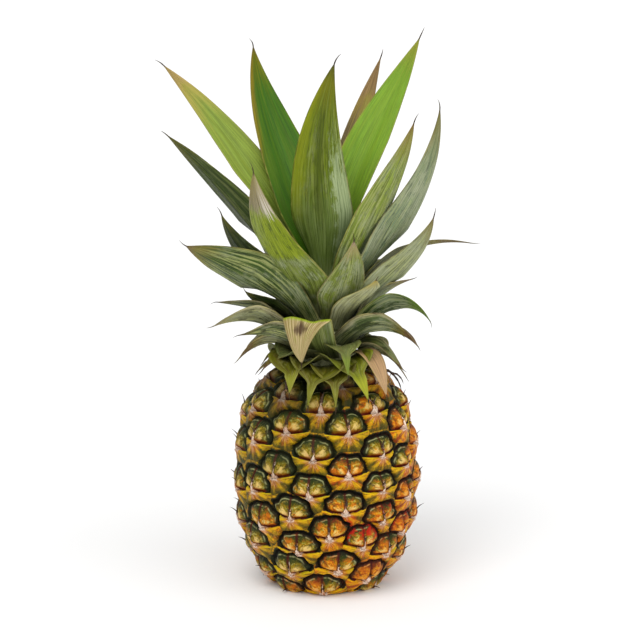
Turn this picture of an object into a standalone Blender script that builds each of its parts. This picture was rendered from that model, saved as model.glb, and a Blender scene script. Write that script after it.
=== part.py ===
"""A ripe pineapple standing upright, with its whole crown of leaves.

The fruit is one grown body: a barrel whose skin is divided into eyes, each eye a low dome with a
groove all round it. The crown is a short tapered stem with leaves set round it, the youngest
nearly upright round the tip and the oldest flat or bent down over the shoulder of the fruit.
Up is +Z, the fruit stands on the flat of its base at z = 0 and its axis is the Z axis.
Azimuths are in degrees, 0 at the front (-Y) and 90 at the right (+X).
"""

import math

import bmesh
import bpy
import numpy as np

for old in list(bpy.data.objects):
    bpy.data.objects.remove(old, do_unlink=True)

MM = 0.001

# ---------------------------------------------------------------- driving dimensions, millimetres
# radius and height of the skin at the bottom of the grooves, from the base up to the crown
FRUIT_PROFILE = (
    (0.0, 0.0), (13.0, 0.0), (25.0, 0.0), (31.0, 1.2), (36.0, 5.0), (40.6, 11.0), (45.2, 19.0),
    (49.5, 29.0), (52.9, 41.0), (55.1, 54.0), (56.0, 67.0), (55.6, 80.0), (54.3, 93.0),
    (51.8, 106.0), (47.3, 118.0), (41.8, 126.5), (34.5, 133.2), (26.5, 137.6), (18.0, 140.0),
    (9.0, 141.0), (0.0, 141.3),
)
EYE_RELIEF = 3.0  # how far a dome stands above its groove
EYE_AREA = 505.0  # skin held by one eye, square millimetres
EYE_LOW, EYE_HIGH = 33.0, 33.0  # radius of the skin where the eyes stop, below and above

# eyes on the front of the fruit: azimuth, height
FRONT_EYES = (
    (-5, 123.5), (-28, 112.5), (-66, 119.5), (-37, 127), (37, 121.5), (14.5, 111), (64, 108),
    (-54, 103), (-8, 95.5), (37.5, 95.5), (-80, 93), (-33.5, 84.5), (13.5, 85.5), (59, 86),
    (-10.5, 74.5), (36.5, 73.5), (-52, 72), (-74, 68), (12, 63.5), (-23, 58.5), (61.5, 64.5),
    (37.5, 55), (-44.5, 51), (2, 46.5), (60, 43), (24.5, 39.5), (-18, 36), (47, 31), (-60, 33),
    (9, 23), (-28, 19.5), (36, 14), (-4, 6.5),
)

STEM_FOOT_RADIUS, STEM_TIP_RADIUS = 25.0, 3.2
STEM_FOOT_Z, STEM_TIP_Z = 142.0, 186.0
LEAF_THICKNESS = 1.2
LEAF_PITCH = 1.95  # radial room that one leaf base takes in the stack round the stem
START_SLOPES = {"leaf_11": 59.0, "leaf_14": 56.0}  # leaves that spread from their base

# crown leaves, from the youngest in the middle to the oldest outside:
# name, azimuth of the base, tip azimuth, tip distance from the axis, tip height, greatest width,
# slope at the tip in degrees (90 upright, 0 level, below 0 hanging), the azimuth it points to,
# share of the length at each end that keeps its direction, and the twist in degrees that turns
# the inner face (above 0) or the outer face (below 0) to the front
LEAVES = (
    ("leaf_01_right_tall", 132, 136, 86, 341, 34, 60, 125, 0.42, 0.30, 22),
    ("leaf_02_centre_tall", -14, 14, 20, 333, 42, 72, 80, 0.36, 0.38, 0),
    ("leaf_03_back_left_tall", -150, -142, 76, 336, 43, 84, -120, 0.34, 0.34, 0),
    ("leaf_04_back_thread_tip", 152, 160, 105, 325, 25, 52, 150, 0.34, 0.30, 0),
    ("leaf_05_back_upright", 176, 177, 104, 276, 26, 46, 177, 0.34, 0.30, 0),
    ("leaf_06_left_long", -108, -118, 118, 324, 32, 40, -112, 0.26, 0.30, 38),
    ("leaf_07_right_striped", 64, 77, 55, 296, 33, 74, 85, 0.22, 0.34, -26),
    ("leaf_08_right_grey", 90, 92, 70, 303, 33, 88, 92, 0.13, 0.46, -50),
    ("leaf_09_back_right_mid", 164, 162, 60, 250, 16, 62, 162, 0.34, 0.30, 0),
    ("leaf_10_back_mid", -174, -176, 94, 246, 31, 38, -176, 0.34, 0.30, 0),
    ("leaf_11_front_left_broad", -46, -41, 67, 271, 45, 84, -50, 0.26, 0.42, 0),
    ("leaf_13_back_left_mid", -149, -153, 92, 246, 21, 38, -153, 0.34, 0.30, 0),
    ("leaf_14_front_right_broad", 27, 20, 48, 228, 32, 76, 20, 0.34, 0.34, 0),
    ("leaf_15_right_hooked", 96, 99, 92, 216, 24, -10, 99, 0.36, 0.42, -20),
    ("leaf_12_left_dark", -112, -96, 100, 285, 21, 42, -88, 0.20, 0.32, -62),
    ("leaf_16_left_small", -102, -100, 67, 235, 24, 72, -100, 0.22, 0.36, -60),
    ("leaf_17_right_pale", 73, 76, 68, 238, 23, 74, 75, 0.20, 0.36, -42),
    ("leaf_18_back_arching", 166, 160, 92, 222, 29, 16, 160, 0.36, 0.34, 0),
    ("leaf_19_back_left_arching", -160, -160, 94, 222, 27, 20, -160, 0.36, 0.34, 0),
    ("leaf_20_left_front", -60, -82, 88, 219, 36, 26, -92, 0.30, 0.34, -36),
    ("leaf_21_right_front_pale", 52, 37, 50, 203, 22, 58, 36, 0.40, 0.30, -8),
    ("leaf_22_back_right_arching", 140, 150, 80, 196, 26, 0, 150, 0.36, 0.36, 0),
    ("leaf_23_left_shaded", -86, -84, 51, 189, 25, 46, -84, 0.36, 0.30, -30),
    ("leaf_24_right_curled", 96, 94, 54, 195, 17, 12, 94, 0.40, 0.36, -14),
    ("leaf_25_back_low", -176, -176, 84, 186, 27, -12, -176, 0.36, 0.38, 0),
    ("leaf_26_left_back_low", -132, -136, 80, 190, 25, 4, -136, 0.36, 0.36, 0),
    ("leaf_27_right_arching", 70, 77, 66, 172, 25, -56, 77, 0.42, 0.44, -26),
    ("leaf_28_left_level", -102, -94, 69, 180, 20, 4, -94, 0.40, 0.36, -20),
    ("leaf_29_front_folded", -10, -19, 44, 149, 36, -88, -22, 0.92, 0.60, 0),
    ("leaf_30_right_drooping", 54, 66, 62, 158, 29, -50, 66, 0.44, 0.44, -26),
    ("leaf_31_back_right_low", 148, 150, 78, 166, 25, -34, 150, 0.38, 0.40, 0),
    ("leaf_32_left_pale", -74, -80, 72, 168, 26, -24, -80, 0.42, 0.40, -26),
    ("leaf_33_back_left_low", -150, -150, 76, 162, 24, -36, -150, 0.38, 0.40, 0),
    ("leaf_34_right_low", 106, 114, 52, 156, 22, -44, 114, 0.38, 0.42, 0),
    ("leaf_35_left_front_low", -48, -70, 58, 164, 25, -10, -80, 0.40, 0.38, -18),
    ("leaf_36_back_short", 176, 178, 66, 150, 24, -46, 178, 0.38, 0.42, 0),
    ("leaf_37_left_tan", -84, -76, 57, 147, 22, -50, -76, 0.42, 0.42, -16),
    ("leaf_38_left_back_short", -124, -124, 54, 147, 22, -50, -124, 0.38, 0.42, 0),
    ("leaf_39_front_bent", 22, 15, 51, 145, 28, -66, 15, 0.44, 0.44, 0),
    ("leaf_40_right_short", 78, 73, 50, 141, 19, -44, 73, 0.40, 0.40, -8),
    ("leaf_41_back_right_short", 130, 130, 52, 144, 22, -50, 130, 0.38, 0.42, 0),
    ("leaf_42_left_lowest", -46, -54, 49, 144, 21, -46, -54, 0.42, 0.42, 0),
    ("leaf_43_shoulder_right_tan", 50, 41, 56, 131, 21, -64, 38, 0.42, 0.44, 0),
    ("leaf_44_shoulder_back_left", -152, -152, 54, 131, 22, -62, -152, 0.40, 0.44, 0),
    ("leaf_45_shoulder_front_right", 19, 27, 56, 130, 20, -62, 34, 0.42, 0.44, 0),
    ("leaf_46_shoulder_left", -118, -118, 46, 137, 20, -56, -118, 0.40, 0.44, 0),
    ("leaf_47_shoulder_back", 162, 162, 54, 131, 22, -62, 162, 0.40, 0.44, 0),
    ("leaf_48_shoulder_front_left", -38, -25, 54, 134, 20, -64, -20, 0.42, 0.44, 0),
    ("leaf_49_shoulder_right", 100, 98, 51, 131, 20, -60, 98, 0.40, 0.44, 0),
    ("leaf_50_shoulder_front", -8, -12, 55, 127, 21, -66, -14, 0.42, 0.44, 0),
    ("leaf_52_shoulder_front_low", 7, 6, 54, 126, 13, -68, 6, 0.42, 0.44, 0),
    ("leaf_51_shoulder_left_low", -78, -80, 44, 138, 18, -50, -80, 0.40, 0.44, 0),
)
NARROWEST_BASE = 5.2  # half width of the smallest leaf base

# ------------------------------------------------------------------------------ fruit surface


def catmull(p0, p1, p2, p3, t):
    return 0.5 * (2 * p1 + (p2 - p0) * t + (2 * p0 - 5 * p1 + 4 * p2 - p3) * t * t
                  + (3 * p1 - p0 - 3 * p2 + p3) * t ** 3)


def profile_table(points, per_span=40):
    """Dense radius, height, length and conformal latitude along the turned profile."""
    pts = np.array(points, float)
    last = len(pts) - 1
    out = [catmull(pts[max(i - 1, 0)], pts[i], pts[i + 1], pts[min(i + 2, last)], k / per_span)
           for i in range(last) for k in range(per_span)]
    out.append(pts[-1])
    out = np.array(out)
    out[:, 1] = np.maximum(out[:, 1], 0.0)
    step = np.hypot(*np.diff(out, axis=0).T)
    length = np.concatenate([[0.0], np.cumsum(step)])
    middle = np.maximum(0.5 * (out[1:, 0] + out[:-1, 0]), 1e-3)
    mercator = np.concatenate([[0.0], np.cumsum(step / middle)])
    mercator -= np.interp(0.5 * length[-1], length, mercator)
    slope = np.gradient(out, length, axis=0)
    slope /= np.maximum(np.linalg.norm(slope, axis=1, keepdims=True), 1e-9)
    return {"r": out[:, 0], "z": out[:, 1], "s": length, "m": mercator,
            "nr": slope[:, 1], "nz": -slope[:, 0]}


SKIN = profile_table(FRUIT_PROFILE)


def direction(azimuth, s):
    """Unit vector that stands for a point of the skin on a sphere with the same local angles."""
    m = np.interp(s, SKIN["s"], SKIN["m"])
    flat, up = 1.0 / np.cosh(m), np.tanh(m)
    return np.stack([flat * np.sin(azimuth), -flat * np.cos(azimuth), up], axis=-1)


def skin_point(unit, lift):
    """Point of the fruit for such a unit vector, lifted off the groove level along the normal."""
    unit = unit / np.linalg.norm(unit, axis=-1, keepdims=True)
    m = np.arctanh(np.clip(unit[..., 2], -0.9999999, 0.9999999))
    azimuth = np.arctan2(unit[..., 0], -unit[..., 1])
    r, z, nr, nz = (np.interp(m, SKIN["m"], SKIN[k]) for k in ("r", "z", "nr", "nz"))
    r = r + lift * nr
    z = np.maximum(z + lift * nz, 0.0)
    return np.stack([r * np.sin(azimuth), -r * np.cos(azimuth), z], axis=-1)


def height_to_s(z):
    rising = SKIN["s"] > 20.0
    return np.interp(z, SKIN["z"][rising], SKIN["s"][rising])


def eye_centres():
    """Azimuth and length along the profile of every eye: those on the front where they grew,
    and the others spread evenly over the rest of the skin."""
    front = np.array(FRONT_EYES, float)
    theta = list(np.radians(front[:, 0]))
    s = list(height_to_s(front[:, 1]))
    fixed = len(theta)
    s_low = np.interp(EYE_LOW, SKIN["r"][:200], SKIN["s"][:200])
    top = SKIN["s"] > 0.6 * SKIN["s"][-1]
    s_high = np.interp(-EYE_HIGH, -SKIN["r"][top], SKIN["s"][top])
    inside = (SKIN["s"] >= s_low - 8) & (SKIN["s"] <= s_high + 8)
    area = np.cumsum(np.where(inside, 2 * math.pi * (SKIN["r"] + 1.5) * np.gradient(SKIN["s"]), 0))
    count = int(round(area[-1] / EYE_AREA))
    # a single generative spiral, one eye for each equal share of skin, drops in the missing ones
    turn = math.radians(360.0 * 13 / 15 - 0.04)
    px = skin_point(direction(np.array(theta), np.array(s)), 0.0)
    for k in range(count):
        a = math.radians(13.3) - (k - 40) * turn
        a = (a + math.pi) % (2 * math.pi) - math.pi
        sk = np.interp((k + 0.5) / count * area[-1], area, SKIN["s"])
        p = skin_point(direction(np.array([a]), np.array([sk])), 0.0)[0]
        if np.min(np.linalg.norm(px[:fixed] - p, axis=1)) > 16.5 and not (
                abs(a) < math.radians(50) and 12 < p[2] < 118):
            theta.append(a)
            s.append(sk)
    theta, s = np.array(theta), np.array(s)
    for _ in range(240):
        p = skin_point(direction(theta, s), 0.0)
        gap = p[:, None] - p[None]
        dist = np.linalg.norm(gap, axis=2) + np.eye(len(p)) * 1e6
        push = (gap / dist[..., None] * (np.maximum(0, 31.0 - dist) ** 2 / 31.0)[..., None]).sum(1)
        e_theta = np.stack([np.cos(theta), np.sin(theta), np.zeros_like(theta)], -1)
        ds = 0.5
        ahead = skin_point(direction(theta, s + ds), 0.0)
        e_s = (ahead - p) / np.linalg.norm(ahead - p, axis=1, keepdims=True)
        radius = np.maximum(np.hypot(p[:, 0], p[:, 1]), 5.0)
        move_t = np.clip((push * e_theta).sum(1) * 0.22, -2, 2) / radius
        move_s = np.clip((push * e_s).sum(1) * 0.22, -2, 2)
        move_t[:fixed] = 0
        move_s[:fixed] = 0
        theta = theta + move_t
        s = np.clip(s + move_s, s_low, s_high)
    return theta, s


def hull_faces(points):
    """Triangles of the convex hull of points on a sphere, as index triples."""
    bm = bmesh.new()
    verts = [bm.verts.new(p) for p in points]
    bm.verts.index_update()
    bmesh.ops.convex_hull(bm, input=verts)
    bmesh.ops.triangulate(bm, faces=bm.faces[:])
    faces = [tuple(v.index for v in f.verts) for f in bm.faces]
    bm.free()
    return faces


def eye_cells(centres):
    """For each centre, the corners of its cell in order, as unit vectors."""
    around = [[] for _ in centres]
    for face in hull_faces([tuple(c) for c in centres]):
        a, b, c = (centres[i] for i in face)
        n = np.cross(b - a, c - a)
        n /= np.linalg.norm(n)
        if n @ (a + b + c) < 0:
            n = -n
        for i in face:
            around[i].append(n)
    cells = []
    for centre, corners in zip(centres, around):
        east = np.cross([0.0, 0.0, 1.0], centre)
        if np.linalg.norm(east) < 1e-6:
            east = np.array([1.0, 0.0, 0.0])
        east /= np.linalg.norm(east)
        north = np.cross(centre, east)
        corners = sorted(corners, key=lambda n: math.atan2(n @ north, n @ east))
        cells.append(np.array(corners))
    return cells


def new_object(name, verts, faces, colour, roughness, smooth_angle=60):
    mesh = bpy.data.meshes.new(name)
    mesh.from_pydata([tuple(v * MM) for v in verts], [], faces)
    mesh.validate()
    bm = bmesh.new()
    bm.from_mesh(mesh)
    bmesh.ops.recalc_face_normals(bm, faces=bm.faces[:])
    bm.to_mesh(mesh)
    bm.free()
    mesh.shade_smooth()
    mesh.set_sharp_from_angle(angle=math.radians(smooth_angle))
    obj = bpy.data.objects.new(name, mesh)
    bpy.context.scene.collection.objects.link(obj)
    material = bpy.data.materials.new(name + "_finish")
    material.use_nodes = True
    shader = material.node_tree.nodes["Principled BSDF"]
    shader.inputs["Base Color"].default_value = (*colour, 1.0)
    shader.inputs["Roughness"].default_value = roughness
    shader.inputs["Metallic"].default_value = 0.0
    mesh.materials.append(material)
    return obj


def build_fruit():
    theta, s = eye_centres()
    centres = list(direction(theta, s))
    eyes = len(centres)
    centres += [np.array([0.0, 0.0, -1.0]), np.array([0.0, 0.0, 1.0])]
    cells = eye_cells(centres)
    verts, faces, known = [], [], {}

    def vert(point, key=None):
        if key is not None and key in known:
            return known[key]
        verts.append(point)
        if key is not None:
            known[key] = len(verts) - 1
        return len(verts) - 1

    def corner_key(n):
        return tuple(np.round(n, 5) + 0.0)

    for number, (centre, corners) in enumerate(zip(centres, cells)):
        dome = number < eyes
        rim = []
        for i, corner in enumerate(corners):
            after = corners[(i + 1) % len(corners)]
            rim.append((corner, corner_key(corner)))
            ends = tuple(sorted((corner_key(corner), corner_key(after))))
            rim.append(((corner + after) / np.linalg.norm(corner + after), ends))
        size = min(1.0, np.mean([np.linalg.norm(
            skin_point(c, 0.0) - skin_point(centre, 0.0)) for c, _ in rim]) / 13.0)
        outer = [vert(skin_point(c, 0.0), key) for c, key in rim]
        middle = vert(skin_point(centre, EYE_RELIEF * size if dome else 0.0))
        if not dome:
            for i in range(len(outer)):
                faces.append((outer[i], outer[(i + 1) % len(outer)], middle))
            continue
        inner = [vert(skin_point(centre * 0.4 + c * 0.6, 0.82 * EYE_RELIEF * size))
                 for c, _ in rim]
        for i in range(len(outer)):
            j = (i + 1) % len(outer)
            faces.append((outer[i], outer[j], inner[j]))
            faces.append((outer[i], inner[j], inner[i]))
            faces.append((inner[i], inner[j], middle))
    return new_object("fruit_body", verts, faces, (0.42, 0.20, 0.03), 0.55)


# ------------------------------------------------------------------------------- crown


def stem_z(radius):
    """Height of the surface of the crown stem at a radius."""
    f = (STEM_FOOT_RADIUS - radius) / (STEM_FOOT_RADIUS - STEM_TIP_RADIUS)
    return STEM_FOOT_Z + (STEM_TIP_Z - STEM_FOOT_Z) * np.clip(f, 0, 1) ** 1.15


def build_stem():
    rings = [(STEM_FOOT_RADIUS - 1.0, STEM_FOOT_Z + 0.1)]
    for k in range(9):
        radius = STEM_FOOT_RADIUS - 0.8 + (STEM_TIP_RADIUS - STEM_FOOT_RADIUS) * k / 8
        rings.append((radius, float(stem_z(radius + 0.8))))
    bm = bmesh.new()
    edges = []
    points = [(0.0, rings[0][1])] + rings[1:] + [(0.0, rings[-1][1] + 1.5)]
    points[1] = (points[1][0], rings[0][1])
    for (r0, z0), (r1, z1) in zip(points, points[1:]):
        a = bm.verts.new((r0 * MM, 0, z0 * MM))
        b = bm.verts.new((r1 * MM, 0, z1 * MM))
        edges.append(bm.edges.new((a, b)))
    bmesh.ops.remove_doubles(bm, verts=bm.verts[:], dist=1e-7)
    bmesh.ops.spin(bm, geom=bm.verts[:] + bm.edges[:], cent=(0, 0, 0), axis=(0, 0, 1),
                   angle=2 * math.pi, steps=24, use_merge=True)
    bmesh.ops.remove_doubles(bm, verts=bm.verts[:], dist=1e-6)
    bmesh.ops.recalc_face_normals(bm, faces=bm.faces[:])
    verts = [np.array(v.co) / MM for v in bm.verts]
    bm.verts.index_update()
    faces = [tuple(v.index for v in f.verts) for f in bm.faces]
    bm.free()
    return new_object("crown_stem", verts, faces, (0.55, 0.56, 0.36), 0.7)


def leaf_bases():
    """Radius of each leaf base: every leaf wraps round all those inside it."""
    ring = np.full(360, STEM_TIP_RADIUS + 0.6)
    radii = []
    for number, leaf in enumerate(LEAVES):
        share = number / (len(LEAVES) - 1)
        half = 46 - 16 * share
        span = (np.arange(360) - leaf[1] + 180) % 360 - 180
        covered = np.abs(span) <= half
        radius = ring[covered].max() + LEAF_PITCH * (0.5 if number == 0 else 1.0)
        ring[covered] = radius
        radii.append(radius)
    radii = np.array(radii)
    most = STEM_FOOT_RADIUS - 0.6
    if radii.max() > most:
        radii = radii[0] + (radii - radii[0]) * (most - radii[0]) / (radii.max() - radii[0])
    return radii


def radial(azimuth, slope):
    a, e = math.radians(azimuth), math.radians(slope)
    return np.array([math.cos(e) * math.sin(a), -math.cos(e) * math.cos(a), math.sin(e)])


def leaf_curve(number, radii, ts):
    """Centre line of a leaf with its tangent, its width direction and the normal that faces
    the axis, at parameters ts from 0 at the base to 1 at the tip."""
    _, base_az, tip_az, tip_r, tip_z, _, end_slope, end_az, c0, c1, twist = LEAVES[number]
    share = number / (len(LEAVES) - 1)
    start_slope = START_SLOPES.get(LEAVES[number][0][:7], 88.0 - 80.0 * share ** 1.5)
    radius = radii[number]
    p0 = np.array([0.0, 0.0, float(stem_z(radius)) + 0.6]) + radial(base_az, 0) * radius
    p3 = radial(tip_az, 0) * tip_r + np.array([0.0, 0.0, tip_z])
    chord = np.linalg.norm(p3 - p0)
    p1 = p0 + radial(base_az, start_slope) * chord * c0
    p2 = p3 - radial(end_az, end_slope) * chord * c1
    t = np.asarray(ts, float)[:, None]
    centre = ((1 - t) ** 3 * p0 + 3 * (1 - t) ** 2 * t * p1 + 3 * (1 - t) * t * t * p2
              + t ** 3 * p3)
    tangent = 3 * ((1 - t) ** 2 * (p1 - p0) + 2 * (1 - t) * t * (p2 - p1) + t * t * (p3 - p2))
    tangent /= np.linalg.norm(tangent, axis=1, keepdims=True)
    a = math.radians(base_az)
    across = np.array([math.cos(a), math.sin(a), 0.0]) - tangent * (
        tangent @ np.array([math.cos(a), math.sin(a), 0.0]))[:, None]
    across /= np.linalg.norm(across, axis=1, keepdims=True)
    inward = np.cross(tangent, across)
    inward = inward * np.sign(inward[0] @ (np.array([0, 0, 0.5]) - radial(base_az, 0)))
    side = np.cross(tangent, inward)
    to_front = np.sign(-side[len(side) // 2, 1])
    turn = np.radians(twist) * to_front * np.clip((t - 0.16) / 0.4, 0, 1) ** 1.5
    return (centre, tangent, across * np.cos(turn) + np.cross(tangent, across) * np.sin(turn),
            inward * np.cos(turn) + side * np.sin(turn))


def leaf_half_width(number, radii, ts):
    t = np.asarray(ts, float)
    full = LEAVES[number][5] / 2
    base = min(max(0.55 * full, NARROWEST_BASE), 0.72 * radii[number])
    grow = np.clip(t / 0.38, 0, 1)
    grow = grow * grow * (3 - 2 * grow)
    return (base + (full - base) * grow) * np.maximum(1 - t ** 2.3, 0.0) / (1 - 0.38 ** 2.3) ** grow


def leaf_curvature(number, radii, ts, centre):
    """One over the radius of the channel across the leaf."""
    t = np.asarray(ts, float)
    own = 1.0 / np.maximum(np.hypot(centre[:, 0], centre[:, 1]), 5.0)
    free = 1.0 / (1.55 * LEAVES[number][5] / 2 + 6.0)
    blend = np.clip(t / 0.4, 0, 1)
    return own + (free - own) * blend * blend * (3 - 2 * blend)


def build_leaf(number, radii, stations=8):
    ts = np.linspace(0, 1, stations + 1)
    centre, _, across, inward = leaf_curve(number, radii, ts)
    half = leaf_half_width(number, radii, ts)
    bend = leaf_curvature(number, radii, ts, centre)
    sides = np.array([-1.0, -0.55, 0.0, 0.55, 1.0])
    verts, faces = [], []
    for j in range(stations):
        thick = LEAF_THICKNESS * (1 - 0.45 * ts[j]) / 2
        angle = sides * half[j] * bend[j]
        x, lift = np.sin(angle) / bend[j], (1 - np.cos(angle)) / bend[j]
        middle = centre[j] + np.outer(x, across[j]) + np.outer(lift, inward[j])
        normal = np.outer(np.cos(angle), inward[j]) - np.outer(np.sin(angle), across[j])
        ring = [middle[0], *(middle[1:4] + thick * normal[1:4]), middle[4],
                *(middle[3:0:-1] - thick * normal[3:0:-1])]
        verts.extend(ring)
    verts.append(centre[-1])
    n = 8
    for j in range(stations - 1):
        for i in range(n):
            a, b = j * n + i, j * n + (i + 1) % n
            # both faces are split along the same diagonal, so that a twisted blade keeps its
            # thickness
            if i < 4:
                faces += [(a, b, b + n), (a, b + n, a + n)]
            else:
                faces += [(a, b, a + n), (b, b + n, a + n)]
    tip, last = stations * n, (stations - 1) * n
    for i in range(n):
        faces.append((last + i, last + (i + 1) % n, tip))
    faces += [(0, 1, 7), (1, 2, 6, 7), (2, 3, 5, 6), (3, 4, 5)]  # closes the base
    young = 1 - number / (len(LEAVES) - 1)
    colour = (0.10 + 0.05 * (1 - young), 0.20 + 0.06 * young, 0.05)
    return new_object(LEAVES[number][0], verts, faces, colour, 0.5)


def main():
    build_fruit()
    build_stem()
    radii = leaf_bases()
    for number in range(len(LEAVES)):
        build_leaf(number, radii)


main()
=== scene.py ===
"""The finish of a ripe pineapple: the skin with its eyes, bracts and dried bract points, the stem
and the leaves of the crown with their veins, waxy bloom and dried ends. Lengths in the tables are
millimetres; azimuths are degrees, 0 at the front (-Y) and 90 at the right (+X).
"""

import math

import bmesh
import bpy
import numpy as np
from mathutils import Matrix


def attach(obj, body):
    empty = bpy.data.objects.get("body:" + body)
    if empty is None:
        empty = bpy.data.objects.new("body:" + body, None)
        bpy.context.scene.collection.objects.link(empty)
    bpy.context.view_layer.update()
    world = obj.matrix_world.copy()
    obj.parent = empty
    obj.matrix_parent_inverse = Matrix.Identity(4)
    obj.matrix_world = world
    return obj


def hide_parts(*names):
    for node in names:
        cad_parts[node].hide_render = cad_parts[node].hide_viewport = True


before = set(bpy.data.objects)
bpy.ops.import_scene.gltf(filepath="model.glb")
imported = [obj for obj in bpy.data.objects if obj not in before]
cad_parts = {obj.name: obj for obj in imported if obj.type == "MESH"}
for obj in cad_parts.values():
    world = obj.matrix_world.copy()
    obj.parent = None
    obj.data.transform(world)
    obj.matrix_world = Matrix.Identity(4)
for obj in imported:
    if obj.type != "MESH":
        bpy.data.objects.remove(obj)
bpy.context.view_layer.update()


MM = 0.001

# ------------------------------------------------------------------ the shape of the CAD model
FRUIT_PROFILE = (
    (0.0, 0.0), (13.0, 0.0), (25.0, 0.0), (31.0, 1.2), (36.0, 5.0), (40.6, 11.0), (45.2, 19.0),
    (49.5, 29.0), (52.9, 41.0), (55.1, 54.0), (56.0, 67.0), (55.6, 80.0), (54.3, 93.0),
    (51.8, 106.0), (47.3, 118.0), (41.8, 126.5), (34.5, 133.2), (26.5, 137.6), (18.0, 140.0),
    (9.0, 141.0), (0.0, 141.3),
)
EYE_AREA = 505.0
EYE_LOW, EYE_HIGH = 33.0, 33.0
FRONT_EYES = (
    (-5, 123.5), (-28, 112.5), (-66, 119.5), (-37, 127), (37, 121.5), (14.5, 111), (64, 108),
    (-54, 103), (-8, 95.5), (37.5, 95.5), (-80, 93), (-33.5, 84.5), (13.5, 85.5), (59, 86),
    (-10.5, 74.5), (36.5, 73.5), (-52, 72), (-74, 68), (12, 63.5), (-23, 58.5), (61.5, 64.5),
    (37.5, 55), (-44.5, 51), (2, 46.5), (60, 43), (24.5, 39.5), (-18, 36), (47, 31), (-60, 33),
    (9, 23), (-28, 19.5), (36, 14), (-4, 6.5),
)
STEM_FOOT_RADIUS, STEM_TIP_RADIUS = 25.0, 3.2
STEM_FOOT_Z, STEM_TIP_Z = 142.0, 186.0
LEAF_THICKNESS = 1.2
LEAF_PITCH = 1.95
START_SLOPES = {"leaf_11": 59.0, "leaf_14": 56.0}  # leaves that spread from their base
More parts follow.
